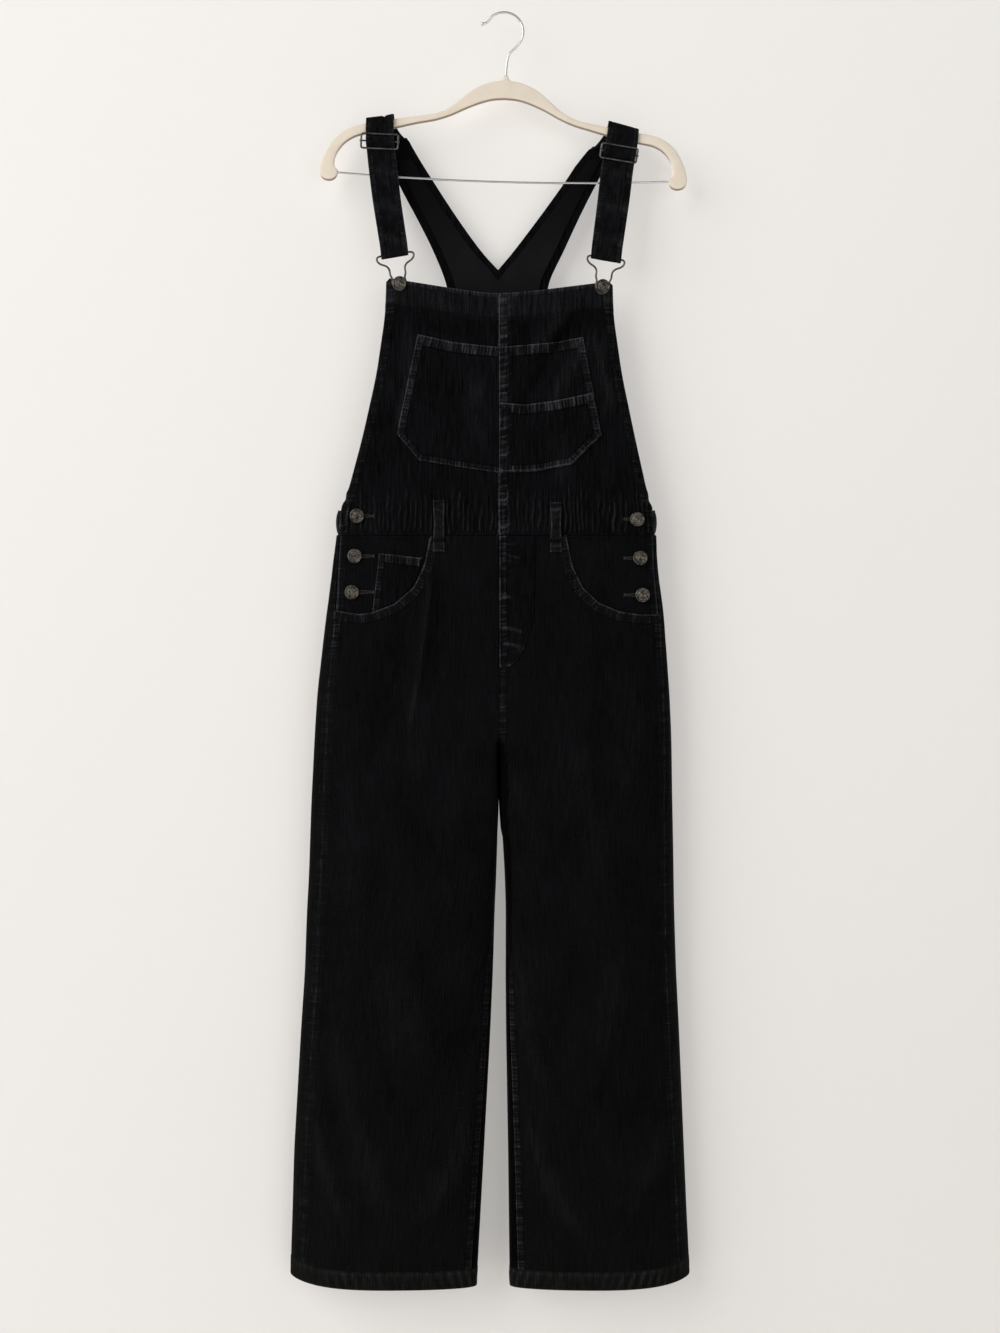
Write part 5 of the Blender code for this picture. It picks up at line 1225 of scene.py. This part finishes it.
def back_halves(inset, foot, notch_z, tops):
    """Grids of x and z for the two halves of the back's shape side by side, from the top of
    the arms down to foot, with the edges moved in by inset, and the column after which the
    second half starts. Each half runs from its side to the edge of the V or, below the
    notch, to the middle. tops gives each arm's two end points, as height and x.
    """
    grids = []
    for side, sign in SIGN.items():
        outer = np.array(BACK_EDGES[side] + tops.get(side, [])[:1])
        inner = np.array(V_EDGES[side] + tops.get(side, [])[1:])
        outer, inner = curve_through(outer, 4.0), curve_through(inner, 4.0)
        inner = np.concatenate([[(notch_z - 0.01, NOTCH[0] - sign * inset)], inner])
        top = float(min(outer[-1, 0], inner[-1, 0]))
        arm = top + (notch_z - top) * spaced(160.0, 3.4)
        body = notch_z + (foot - notch_z) * spaced(notch_z - foot, 3.4, ends=(False, True))[1:]
        z = np.concatenate([arm, body])[:, None]
        from_x = np.interp(z, *outer.T) - sign * inset
        to_x = np.interp(z, *inner.T) + sign * inset
        meeting = step(-z, -notch_z - 0.01, -notch_z) > 0.5
        to_x = np.where(meeting, NOTCH[0], np.where(sign * (to_x - NOTCH[0]) < 0, NOTCH[0], to_x))
        x = from_x + (to_x - from_x) * spaced(70.0, 3.0)
        grids.append((x, z + 0 * x))
    (left_x, left_z), (right_x, right_z) = grids
    return (np.concatenate([left_x, right_x[:, ::-1]], 1), np.concatenate([left_z, right_z[:, ::-1]], 1),
            left_x.shape[1] - 1)


def on_back(x, z, out):
    """Points of the back at x and z, out millimetres behind the back bib's inside. Behind
    the straps' sewn ends the arms step back by ARM_STEP.
    """
    y = read(BACK_DEPTH, 1, z) + folds(BACK_BIB_FOLDS, x, z)
    strap_end = np.where(x < 0, strap_start["left"][0], strap_start["right"][0])
    behind_strap = ARM_STEP * step(z - strap_end, -4.0, -1.0)
    return np.stack([x, y + out + behind_strap, z], -1)


def from_edges(x, z):
    """Distance from the nearest outer edge or edge of the V."""
    lines = [[point[::-1] for point in edge] for table in (BACK_EDGES, V_EDGES)
             for edge in table.values()]
    return np.minimum.reduce([near(line, x, z)[0] for line in lines])


arm_tops = {}
for side, (end_z, *edge_x) in strap_start.items():
    arm_tops[side] = [(end_z + ARM_OVERLAP, at) for at in edge_x[::-SIGN[side]]]
x, z, parted = back_halves(0.0, BACK_FOOT_Z, NOTCH[1], arm_tops)
edge = from_edges(x, z)
gather = ripple(x, 7.6, 5.0) * np.exp(-(z - BACK_FOOT_Z) / 16.0)
points = on_back(x, z, BACK_THICK + turned(edge, BACK_HEM, 0.35) + 1.1 * gather)
back_bib = sew("back_bib", "bib_back", points, np.stack([x, z], -1),
               nearest_seam((edge, z + 0.5 * x, BACK_HEM, 0.2)), 0.35 * step(gather, 0.2, 1.0),
               trim_corduroy, BACK_THICK, TO_WALL, parted=parted)


# ---------------------------------------------------------------------------------------
# Facing. A smooth dark cotton twill lines the inside of the back bib within its turned
# corduroy edges; it shows through the V.
facing_twill = Finish("facing_twill", 0.9, specular=0.05)
lay = facing_twill.node("UVMap", {"uv_map": "wale"})
axes = facing_twill.node("SeparateXYZ", {}, {"Vector": lay})
twill = facing_twill.node("Math", {"operation": "SINE"}, {0: (axes + axes.other("Y") * 0.8) * 6.0})
fine_lay = facing_twill.node("Mapping", {}, {"Vector": lay, "Scale": (0.9, 0.5, 0)})
broad_lay = facing_twill.node("Mapping", {}, {"Vector": lay, "Scale": (0.03, 0.03, 0)})
slub, cloud = facing_twill.noise(fine_lay, 1.0, 3.0), facing_twill.noise(broad_lay, 1.0)
# Up the arms it lies darker, in the shade of the straps and the hanger.
up_the_arm = ((axes.other("Y") + 318.0) * 0.007).held(0.0, 0.75)
tone = (twill * 0.06 + slub * 0.5 + cloud * 0.62) * (1.0 - up_the_arm)
FACING_DARK, FACING_LIGHT = (0.0030, 0.0030, 0.0034, 1), (0.0092, 0.0092, 0.0106, 1)
facing_twill.feed("Base Color", facing_twill.blend(tone, FACING_DARK, FACING_LIGHT))
facing_twill.bump(twill * 0.3 + slub * 0.4, 0.0002, 0.6)
FACING_THICK, FACING_INSET, FACING_FOOT_Z, NOTCH_DROP = 1.0, BACK_HEM, -430.0, 1.3
x, z, parted = back_halves(FACING_INSET, FACING_FOOT_Z, NOTCH[1] - NOTCH_DROP * FACING_INSET, {})
edge = np.minimum(from_edges(x, z) - FACING_INSET, z - FACING_FOOT_Z)
points = on_back(x, z, -LIFT - FACING_THICK - 0.3 * (1 - np.exp(-np.clip(edge, 0, None) / 1.5)))
facing = sew("facing", "back_facing", points, np.stack([x, z], -1), nearest_seam((edge, x + z, 2.0, 0.0)),
             0 * x, facing_twill, FACING_THICK, TO_VIEWER, parted=parted)


# ---------------------------------------------------------------------------------------
# Sliders. Bent wire frames with a loose middle bar whose ends are riveted through the
# frame's sides, plated a dull nickel and rubbed bright on the outside.
NICKEL, TARNISHED = (0.115, 0.112, 0.105, 1), (0.036, 0.034, 0.031, 1)
worn_nickel = Finish("worn_nickel", 0.38, 1.0)
tarnish = worn_nickel.noise(worn_nickel.place((160.0, 160.0, 160.0)), 1.0, 4.0, 0.65)
fine_marks = worn_nickel.noise(worn_nickel.place((1400.0, 1400.0, 500.0)), 1.0, 3.0)
worn_nickel.feed("Base Color", worn_nickel.blend(tarnish.held(0.35, 0.7), NICKEL, TARNISHED))
worn_nickel.feed("Roughness", tarnish * 0.22 + fine_marks * 0.18 + 0.18)
worn_nickel.bump(fine_marks, 0.00008, 0.5)


def joined(*parts):
    """Points and faces of several closed shapes as one."""
    points, faces = [], []
    for part_points, part_faces in parts:
        start = sum(len(block) for block in points)
        points.append(part_points)
        faces += [[start + corner for corner in face] for face in part_faces]
    return np.concatenate(points), faces


def leaning(across, up, middle, degrees):
    """x and height of points of a small part's own plane, turned and moved to its middle."""
    turn = np.radians(degrees)
    return (middle[0] + across * np.cos(turn) - up * np.sin(turn),
            middle[1] + across * np.sin(turn) + up * np.cos(turn))


SLIDERS = {
    # middle x, half width, tilt in degrees
    "left": (-149.5, 22.3, -2.5), "right": (140.6, 22.0, -9.5)}
SLIDER_CORNER, SLIDER_NUB, WIRE_SIDES = 2.6, 1.9, 12
for side, (middle_x, reach, tilt) in SLIDERS.items():
    turns = np.radians(np.arange(9, 369, 9) - 4.5)
    across = np.copysign(reach - SLIDER_CORNER, np.cos(turns)) + SLIDER_CORNER * np.cos(turns)
    up = np.copysign(SLIDER_HALF - SLIDER_CORNER, np.sin(turns)) + SLIDER_CORNER * np.sin(turns)
    x, z = leaning(across, up, (middle_x, SLIDER_Z[side]), tilt)
    frame_wire = tube(np.stack([x, SLIDER_Y + 0 * x, z], -1), WIRE / 2, WIRE_SIDES, closed=True)
    # The bar swells to a rivet's head at both ends.
    end = reach + SLIDER_NUB
    bar_x, bar_z = leaning(np.array([-end, -end + 0.5, -end + 1.6, end - 1.6, end - 0.5, end]), np.zeros(6),
                           (middle_x, SLIDER_Z[side]), tilt)
    bar = tube(np.stack([bar_x, SLIDER_Y + 0 * bar_x, bar_z], -1),
               np.array([0.8, 1.25, 1.0, 1.0, 1.25, 0.8]), WIRE_SIDES)
    slider = solid_mesh(f"slider_wire_{side}", *joined(frame_wire, bar), worn_nickel)
    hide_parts(f"slider_{side}")


# ---------------------------------------------------------------------------------------
# Bib hooks. Bent from one wire: a bar inside the strap's fold, two shoulders, and a neck
# that opens to the ring which drops behind the button.
HOOK_HALF = [(10.0, 36.0), (20.5, 35.5), (22.5, 31.5), (19.5, 27.0), (12.5, 23.0), (9.6, 18.5),
             (9.3, 12.0), (7.6, 6.5), (8.0, 0.5), (5.4, -5.4), (0.0, -7.9)]
HOOK_PLACES = {
    # x and height of its middle, lean in degrees
    "left": (-125.2, -331.2, 9.0), "right": (119.9, -335.5, -8.0)}
for side, (middle_x, middle_z, lean) in HOOK_PLACES.items():
    half = np.array(HOOK_HALF)
    outline = np.concatenate([half, half[-2::-1] * (-1, 1)])
    x, z = leaning(*outline.T, (middle_x, middle_z), lean)
    wire_path = curve_through(np.stack([x, HOOK_Y + 0 * x, z], -1), 1.1, closed=True)
    wire_hook = solid_mesh(f"hook_wire_{side}", *tube(wire_path, WIRE / 2, WIRE_SIDES, closed=True),
                           worn_nickel)
    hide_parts(f"bib_hook_{side}")


# ---------------------------------------------------------------------------------------
# Buttons. Turned metal buttons on a shank: a rolled rim, a sunk ring with fine knurling
# and a low boss with two plain rings. Two hold the bib hooks, six close the sides.
BUTTON_TURN = np.array([
    # share of the radius, share of the stand, share of the crown, from the seat outwards
    (0.0, 0.0, 0.0), (0.28, 0.0, 0.0), (0.30, 0.03, 0.0), (0.26, 0.3, 0.0), (0.26, 0.9, 0.0),
    (0.34, 1.0, 0.0), (0.88, 1.0, 0.0), (0.95, 1.0, 0.06), (0.99, 1.0, 0.25), (1.0, 1.0, 0.45),
    (0.985, 1.0, 0.7), (0.95, 1.0, 0.9), (0.90, 1.0, 0.99), (0.85, 1.0, 1.0), (0.81, 1.0, 0.93),
    (0.785, 1.0, 0.76), (0.765, 1.0, 0.66), (0.72, 1.0, 0.64), (0.62, 1.0, 0.66), (0.55, 1.0, 0.70),
    (0.53, 1.0, 0.82), (0.50, 1.0, 0.86), (0.47, 1.0, 0.80), (0.44, 1.0, 0.74), (0.34, 1.0, 0.80),
    (0.22, 1.0, 0.85), (0.19, 1.0, 0.92), (0.15, 1.0, 0.93), (0.12, 1.0, 0.87), (0.0, 1.0, 0.88)])
BUTTON_SIDES, KNURLS, KNURL_AT = 72, 36, 0.69
RUBBED_METAL, GRIMY_METAL = (0.105, 0.095, 0.084, 1), (0.014, 0.012, 0.010, 1)
button_metal = Finish("button_metal", 0.42, 1.0)
grime = button_metal.noise(button_metal.place((300.0, 300.0, 300.0)), 1.0, 4.0, 0.7)
dimples = button_metal.noise(button_metal.place(), 1500.0, 2.0)
button_metal.feed("Base Color", button_metal.blend(grime.held(0.38, 0.66), RUBBED_METAL, GRIMY_METAL))
button_metal.feed("Roughness", grime * 0.3 + 0.24)
button_metal.bump(dimples, 0.00015, 0.6)


def button(name, node, x, z, seat_y, radius, stand, crown):
    """A button as a turned profile about its own axis, which is level: stand is how far its
    rim lies out of its seat and crown how far the rim is domed out from there.
    """
    turns = np.linspace(0, 2 * np.pi, BUTTON_SIDES, endpoint=False)
    share, stand_share, crown_share = BUTTON_TURN[1:-1].T[:, :, None]
    knurl = 0.06 * np.sign(np.cos(KNURLS * turns)) * np.exp(-((share - KNURL_AT) / 0.045) ** 2) \
        * (stand_share == 1)
    y = seat_y - stand * stand_share - crown * (crown_share + knurl * (crown_share > 0.5))
    rings = np.stack(np.broadcast_arrays(x + radius * share * np.cos(turns), y,
                                         z + radius * share * np.sin(turns)), -1)
    count = len(BUTTON_TURN) - 2
    ends = [(x, seat_y, z), (x, seat_y - stand - crown * BUTTON_TURN[-1, 2], z)]
    faces = grid_faces(count, BUTTON_SIDES, loop=True).tolist()
    last = (count - 1) * BUTTON_SIDES
    for k in range(BUTTON_SIDES):
        beside = (k + 1) % BUTTON_SIDES
        faces.append([count * BUTTON_SIDES, beside, k])
        faces.append([count * BUTTON_SIDES + 1, last + k, last + beside])
    made = solid_mesh(name, np.concatenate([rings.reshape(-1, 3), ends]), faces, button_metal)
    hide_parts(node)


BIB_BUTTONS = {"left": (-124.8, -331.0), "right": (120.6, -334.6)}
BIB_BUTTON_RADIUS, BIB_BUTTON_CROWN = 8.5, 2.6
for side, (x, z) in BIB_BUTTONS.items():
    seat_y = float(front_y(x, z)) - SEAM_GAP
    button(f"hook_button_{side}", f"bib_button_{side}", x, z, seat_y, BIB_BUTTON_RADIUS,
           seat_y - HOOK_Y + WIRE / 2 + SEAM_GAP, BIB_BUTTON_CROWN)
SIDE_BUTTONS = {
    # x, height, how far the cloth it sits on lies behind the front
    "left": [(-176.0, -612.4, 0.0), (-178.7, -660.7, SIDE_PANEL_IN), (-182.1, -704.5, SIDE_PANEL_IN)],
    "right": [(161.8, -616.5, 0.0), (165.4, -663.0, SIDE_PANEL_IN), (168.2, -707.8, SIDE_PANEL_IN)],
}
SIDE_BUTTON_RADIUS, SIDE_BUTTON_STAND, SIDE_BUTTON_CROWN = 8.8, 2.4, 2.4
for side, places in SIDE_BUTTONS.items():
    for number, (x, z, sunk) in enumerate(places, start=1):
        seat_y = float(front_y(x, z)) - LIFT + sunk
        button(f"side_stud_{side}_{number}", f"side_button_{side}_{number}", x, z, seat_y,
               SIDE_BUTTON_RADIUS, SIDE_BUTTON_STAND, SIDE_BUTTON_CROWN)


# ---------------------------------------------------------------------------------------
# Thread. Black polyester topstitching in short raised stitches, and buttonholes whipped
# closely round their slits.
THREAD_DARK, THREAD_LIGHT = (0.002, 0.002, 0.0024, 1), (0.009, 0.009, 0.0105, 1)
THREAD_TWIST = (900.0, 900.0, 900.0)
black_thread = Finish("black_thread", 0.8, specular=0.05)
twist = black_thread.noise(black_thread.place(THREAD_TWIST), 1.0, 2.0)
black_thread.feed("Base Color", black_thread.blend(twist, THREAD_DARK, THREAD_LIGHT))
black_thread.bump(twist, 0.0001, 0.5)
STITCH_RINGS = np.array([
    # share of the half length, share of the radius, how many radii it rises
    (-1.0, 0.35, -0.9), (-0.72, 0.85, 0.15), (0.0, 1.0, 0.45), (0.72, 0.85, 0.15), (1.0, 0.35, -0.9)])
STITCH_PITCH, STITCH_LENGTH, STITCH_SIDES = 3.3, 2.5, 5


def stitches(name, starts, ends, radius, thread):
    """One mesh of stitches between pairs of points on the front: each is a five-sided bead
    that swells in its middle and dips into the cloth at both ends.
    """
    along = 0.5 * (ends - starts)
    unit = along / np.linalg.norm(along, axis=1)[:, None]
    outward = np.array(TO_VIEWER)
    lift = outward - unit * (unit @ outward)[:, None]
    lift /= np.linalg.norm(lift, axis=1)[:, None]
    side = np.cross(unit, lift)
    turn = np.linspace(0, 2 * np.pi, STITCH_SIDES, endpoint=False)
    share, swell, rise = STITCH_RINGS.T[:, None, :, None, None]
    points = (0.5 * (starts + ends)[:, None, None] + along[:, None, None] * share
              + radius * (swell * (np.cos(turn)[None, None, :, None] * side[:, None, None]
                                   + np.sin(turn)[None, None, :, None] * lift[:, None, None])
                          + rise * lift[:, None, None]))
    corners = len(STITCH_RINGS) * STITCH_SIDES
    bead = grid_faces(len(STITCH_RINGS), STITCH_SIDES, loop=True).tolist()
    bead += [list(range(STITCH_SIDES))[::-1], list(range(corners - STITCH_SIDES, corners))]
    faces = [[corners * number + corner for corner in face]
             for number in range(len(starts)) for face in bead]
    solid_mesh(name, points.reshape(-1, 3), faces, thread)


def row_beside(line, by, start=0.0, end=0.0):
    """Starts and ends, as x and z, of the stitches of a row that runs beside a line, by
    millimetres to its left, and stops short of its two ends by start and end.
    """
    path = curve_through(line, 0.8)
    ahead = np.gradient(path, axis=0)
    ahead /= np.linalg.norm(ahead, axis=1)[:, None]
    path = path + by * np.stack([-ahead[:, 1], ahead[:, 0]], -1)
    run = np.concatenate([[0.0], np.cumsum(np.hypot(*np.diff(path, axis=0).T))])
    first = np.arange(start, run[-1] - STITCH_LENGTH - end, STITCH_PITCH)
    return [np.stack([np.interp(first + more, run, column) for column in path.T], -1)
            for more in (0.0, STITCH_LENGTH)]


def sewn(name, rows, folds_there, radius=0.34, thread=black_thread):
    """Thread in rows of stitches on the front. rows holds starts and ends as x and z, and
    how far out of the front the cloth lies there.
    """
    ends = []
    for part in (0, 1):
        x, z = np.concatenate([row[part] for row, _ in rows]).T
        out = np.concatenate([np.full(len(row[part]), out) for row, out in rows])
        ends.append(np.stack([x, front_y(x, z) - out - folds(folds_there, x, z), z], -1))
    stitches(name, *ends, radius, thread)


PATCH_OUT, SMALL_OUT = LIFT + CLOTH + 0.35, 2 * (LIFT + CLOTH) + 0.35
sewn("thread_bib", [
    *((row_beside(POCKET_TOP, by, 3, 3), PATCH_OUT) for by in (-2.4, -10.6)),
    *((row_beside(side, by, 4, 3), PATCH_OUT) for side in (POCKET_LEFT, POCKET_RIGHT[::-1])
      for by in (2.0, 7.6)),
    *((row_beside(POCKET_LOW, by, 3, 3), PATCH_OUT) for by in (1.9, 6.2)),
    *((row_beside(SMALL_TOP, by, 3, 3), SMALL_OUT) for by in (-2.4, -10.2)),
    *((row_beside(SMALL_SIDE[::-1], by, 3, 3), SMALL_OUT) for by in (1.9, 7.2)),
    *((row_beside([(at, -346.0), (at, -590.0)], 0.0), 2.6) for at in (CENTRE_X + 1.9, CENTRE_X + 6.6)),
    (row_beside([(-134.0, -358.0), (-104.0, -364.5), (-58.1, -371.1), (-6.1, -375.6), (50.8, -371.1),
                 (93.1, -363.5), (124.0, -359.0)], 0.0), 0.5)], BIB_FOLDS)
sewn("thread_hips", [
    *((row_beside(MOUTH["left"][:7], by, 3, 3), 0.6) for by in (2.2, 9.6)),
    *((row_beside(MOUTH["right"][:7], by, 3, 3), 0.6) for by in (-2.2, -9.6)),
    *((row_beside(FLY_LOW, by, 4, 2), LIFT + 1.1) for by in (2.0, 6.4)),
    *((row_beside(COIN_TOP, by, 3, 3), -0.5) for by in (2.2, 9.2)),
    (row_beside([(-185.0, -637.6), (-60.0, -637.6), (-8.0, -637.8)], 0.0), 0.3),
    (row_beside([(42.0, -637.8), (100.0, -637.6), (170.0, -637.6)], 0.0), 0.3)], LEG_FOLDS)

WHIP_DARK, WHIP_LIGHT = (0.010, 0.010, 0.010, 1), (0.050, 0.048, 0.044, 1)
slit_thread = Finish("slit_thread", 0.7, specular=0.2)
twist = slit_thread.noise(slit_thread.place(THREAD_TWIST), 1.0)
slit_thread.feed("Base Color", slit_thread.blend(twist, WHIP_DARK, WHIP_LIGHT))
WHIP_LONG, WHIP_LEAN, WHIP_PITCH, WHIP_RADIUS = 1.35, 0.25, 0.8, 0.36
SLIT_HALF, SLIT_GAPE, TACK_HALF, TACK_PITCH = 0.25, 0.9, 1.5, 0.6
BUTTONHOLES = {
    # outer and inner end, height, how far out the cloth lies
    "left": [(-172.0, -156.8, -612.5, 0.6), (-174.0, -156.8, -660.8, -1.9), (-176.0, -156.8, -704.2, -1.9)],
    "right": [(159.0, 147.1, -616.2, 0.6), (161.0, 147.1, -663.2, -1.9), (163.5, 147.1, -707.8, -1.9)],
}
for side, holes in BUTTONHOLES.items():
    whips, outwards = [], SIGN[side]
    for outer_x, inner_x, z, out in holes:
        # Whipping along both sides of the slit, which gapes towards the button.
        at = np.arange(0, abs(inner_x - outer_x), WHIP_PITCH) * outwards + inner_x
        gaping = SLIT_GAPE * (np.abs(at - inner_x) / abs(outer_x - inner_x)) ** 1.5
        for up in (-1, 1):
            near_slit = np.stack([at, z + up * (SLIT_HALF + gaping)], -1)
            whips.append(([near_slit, near_slit + (WHIP_LEAN, up * WHIP_LONG)], out))
        # A bar tack across its inner end.
        tack_z = z + np.arange(-TACK_HALF, TACK_HALF + 0.01, TACK_PITCH)
        tack_x = inner_x - 0.2 * outwards + 0 * tack_z
        whips.append(([np.stack([tack_x, tack_z], -1),
                       np.stack([tack_x - TACK_HALF * outwards, tack_z], -1)], out))
    sewn(f"buttonhole_thread_{side}", whips, [], WHIP_RADIUS, slit_thread)

# Below the V's notch a diamond of stitches with a zigzag inside it holds the facing.
DIAMOND = [
    # distance from its middle line, height
    (0.0, -311.0), (-7.0, -321.0), (-5.0, -328.0), (0.0, -332.0), (5.0, -328.0), (7.0, -321.0),
    (0.0, -311.0)]
ZIG_WIDE, ZIG_TOP_Z, ZIG_DOWN, ZIGS, NOTCH_THREAD = 2.4, -316.5, 2.1, 8, 0.4
diamond = [(NOTCH[0] + across, height) for across, height in DIAMOND]
zigzag = [(NOTCH[0] + ZIG_WIDE * (-1) ** zig, ZIG_TOP_Z - ZIG_DOWN * zig) for zig in range(ZIGS)]
notch_rows = []
for line, pitch, length in ((diamond, 2.6, 2.1), (zigzag, 1.7, 1.5)):
    for first, last in zip(line[:-1], line[1:]):
        share = np.arange(0, np.hypot(last[0] - first[0], last[1] - first[1]) - 0.5 * length, pitch)
        unit = (np.array(last) - first) / np.linalg.norm(np.array(last) - first)
        notch_rows.append((first + unit * share[:, None], first + unit * (share[:, None] + length)))
notch_ends = [on_back(*np.concatenate([row[part] for row in notch_rows]).T, -LIFT - FACING_THICK - 0.15)
              for part in (0, 1)]
stitches("thread_notch", *notch_ends, NOTCH_THREAD, black_thread)


# ---------------------------------------------------------------------------------------
# Camera, wall, floor and light. The wall is painted plaster close behind the garment; it
# shows one face only, so that the back can be looked at too.
GLOW_FAR, GLOW_NEAR = (0.75, 0.73, 0.705, 1), (1.167, 1.14, 1.11, 1)


def stand(name, corners, colour, rough, glow=0.0):
    """A flat plane of the set, seen only from the side its corners face. Glow is painted light:
    an emission standing in for light scattered back at it from the room, on a slope that grows
    upwards and to the left.
    """
    paint = Finish(name, rough, specular=0.1)
    uneven = paint.noise(paint.place(), 3.0, 4.0)
    dark = tuple(0.985 * part for part in colour)
    paint.feed("Base Color", paint.blend(uneven, (*colour, 1), (*dark, 1)))
    if glow:
        at = paint.node("SeparateXYZ", {}, {"Vector": paint.place()})
        near_window = (at.other("Z") * 0.25 - at * 0.12 + 0.73).held(0.0, 1.0)
        paint.feed("Emission Color", paint.blend(near_window, GLOW_FAR, GLOW_NEAR))
        paint.shader.inputs["Emission Strength"].default_value = glow
    behind = paint.node("NewGeometry", out="Backfacing")
    painted, clear = Strand(paint, paint.shader.outputs[0]), paint.node("BsdfTransparent")
    mixed = paint.node("MixShader", {}, {"Fac": behind, 1: painted, 2: clear})
    paint.tree.links.new(mixed.socket, paint.tree.nodes["Material Output"].inputs["Surface"])
    mesh = bpy.data.meshes.new(name)
    mesh.from_pydata(corners, [], [(0, 1, 2, 3)])
    mesh.materials.append(paint.material)
    plane = bpy.data.objects.new(name, mesh)
    bpy.context.scene.collection.objects.link(plane)
    return plane


WALL_Y, FLOOR_Z = 0.036, -1.78
# The wall's glow is painted light, brighter upwards and to the left.
wall = stand("wall", [(-4, WALL_Y, FLOOR_Z), (4, WALL_Y, FLOOR_Z), (4, WALL_Y, 3), (-4, WALL_Y, 3)],
             (0.45, 0.442, 0.433), 0.9, glow=0.332)
wall.visible_shadow = False
stand("floor", [(-4, -5, FLOOR_Z), (4, -5, FLOOR_Z), (4, 4, FLOOR_Z), (-4, 4, FLOOR_Z)],
      (0.78, 0.76, 0.73), 0.9)


def lamp(name, place, aim, size, watts, colour):
    """A square soft light at a place, turned towards a point."""
    light = bpy.data.lights.new(name, "AREA")
    light.shape, light.size, light.energy, light.color = "SQUARE", size, watts, colour
    held = bpy.data.objects.new(name, light)
    held.location = place
    held.rotation_euler = (Vector(aim) - Vector(place)).to_track_quat("-Z", "Y").to_euler()
    bpy.context.scene.collection.objects.link(held)


GARMENT_MIDDLE = (0.0, 0.0, -0.8)
lamp("window", (-4.2, -3.6, 1.5), GARMENT_MIDDLE, 5.0, 300.0, (1.0, 0.985, 0.96))
lamp("fill", (1.6, -3.4, -0.6), GARMENT_MIDDLE, 2.6, 33.0, (1.0, 0.985, 0.97))
lamp("behind_left", (-1.6, 2.4, 0.4), GARMENT_MIDDLE, 1.8, 95.0, (1.0, 0.98, 0.96))
lamp("behind_right", (1.8, 2.2, -0.8), GARMENT_MIDDLE, 2.2, 60.0, (1.0, 0.98, 0.96))
room = bpy.data.worlds.new("room")
room.use_nodes = True
room.node_tree.nodes["Background"].inputs["Color"].default_value = (1.0, 0.985, 0.965, 1)
room.node_tree.nodes["Background"].inputs["Strength"].default_value = 0.36
bpy.context.scene.world = room
bpy.context.scene.view_settings.view_transform = "Standard"

CAMERA_X, CAMERA_BACK, CAMERA_Z = -0.00365, 2.35, -0.794
CAMERA_LENS, CAMERA_FILM = 52.19, 36.0
lens = bpy.data.cameras.new("camera")
lens.lens, lens.sensor_width = CAMERA_LENS, CAMERA_FILM
camera = bpy.data.objects.new("camera", lens)
camera.location = (CAMERA_X, -CAMERA_BACK, CAMERA_Z)
camera.rotation_euler = (np.pi / 2, 0.0, 0.0)
bpy.context.scene.collection.objects.link(camera)
bpy.context.scene.camera = camera
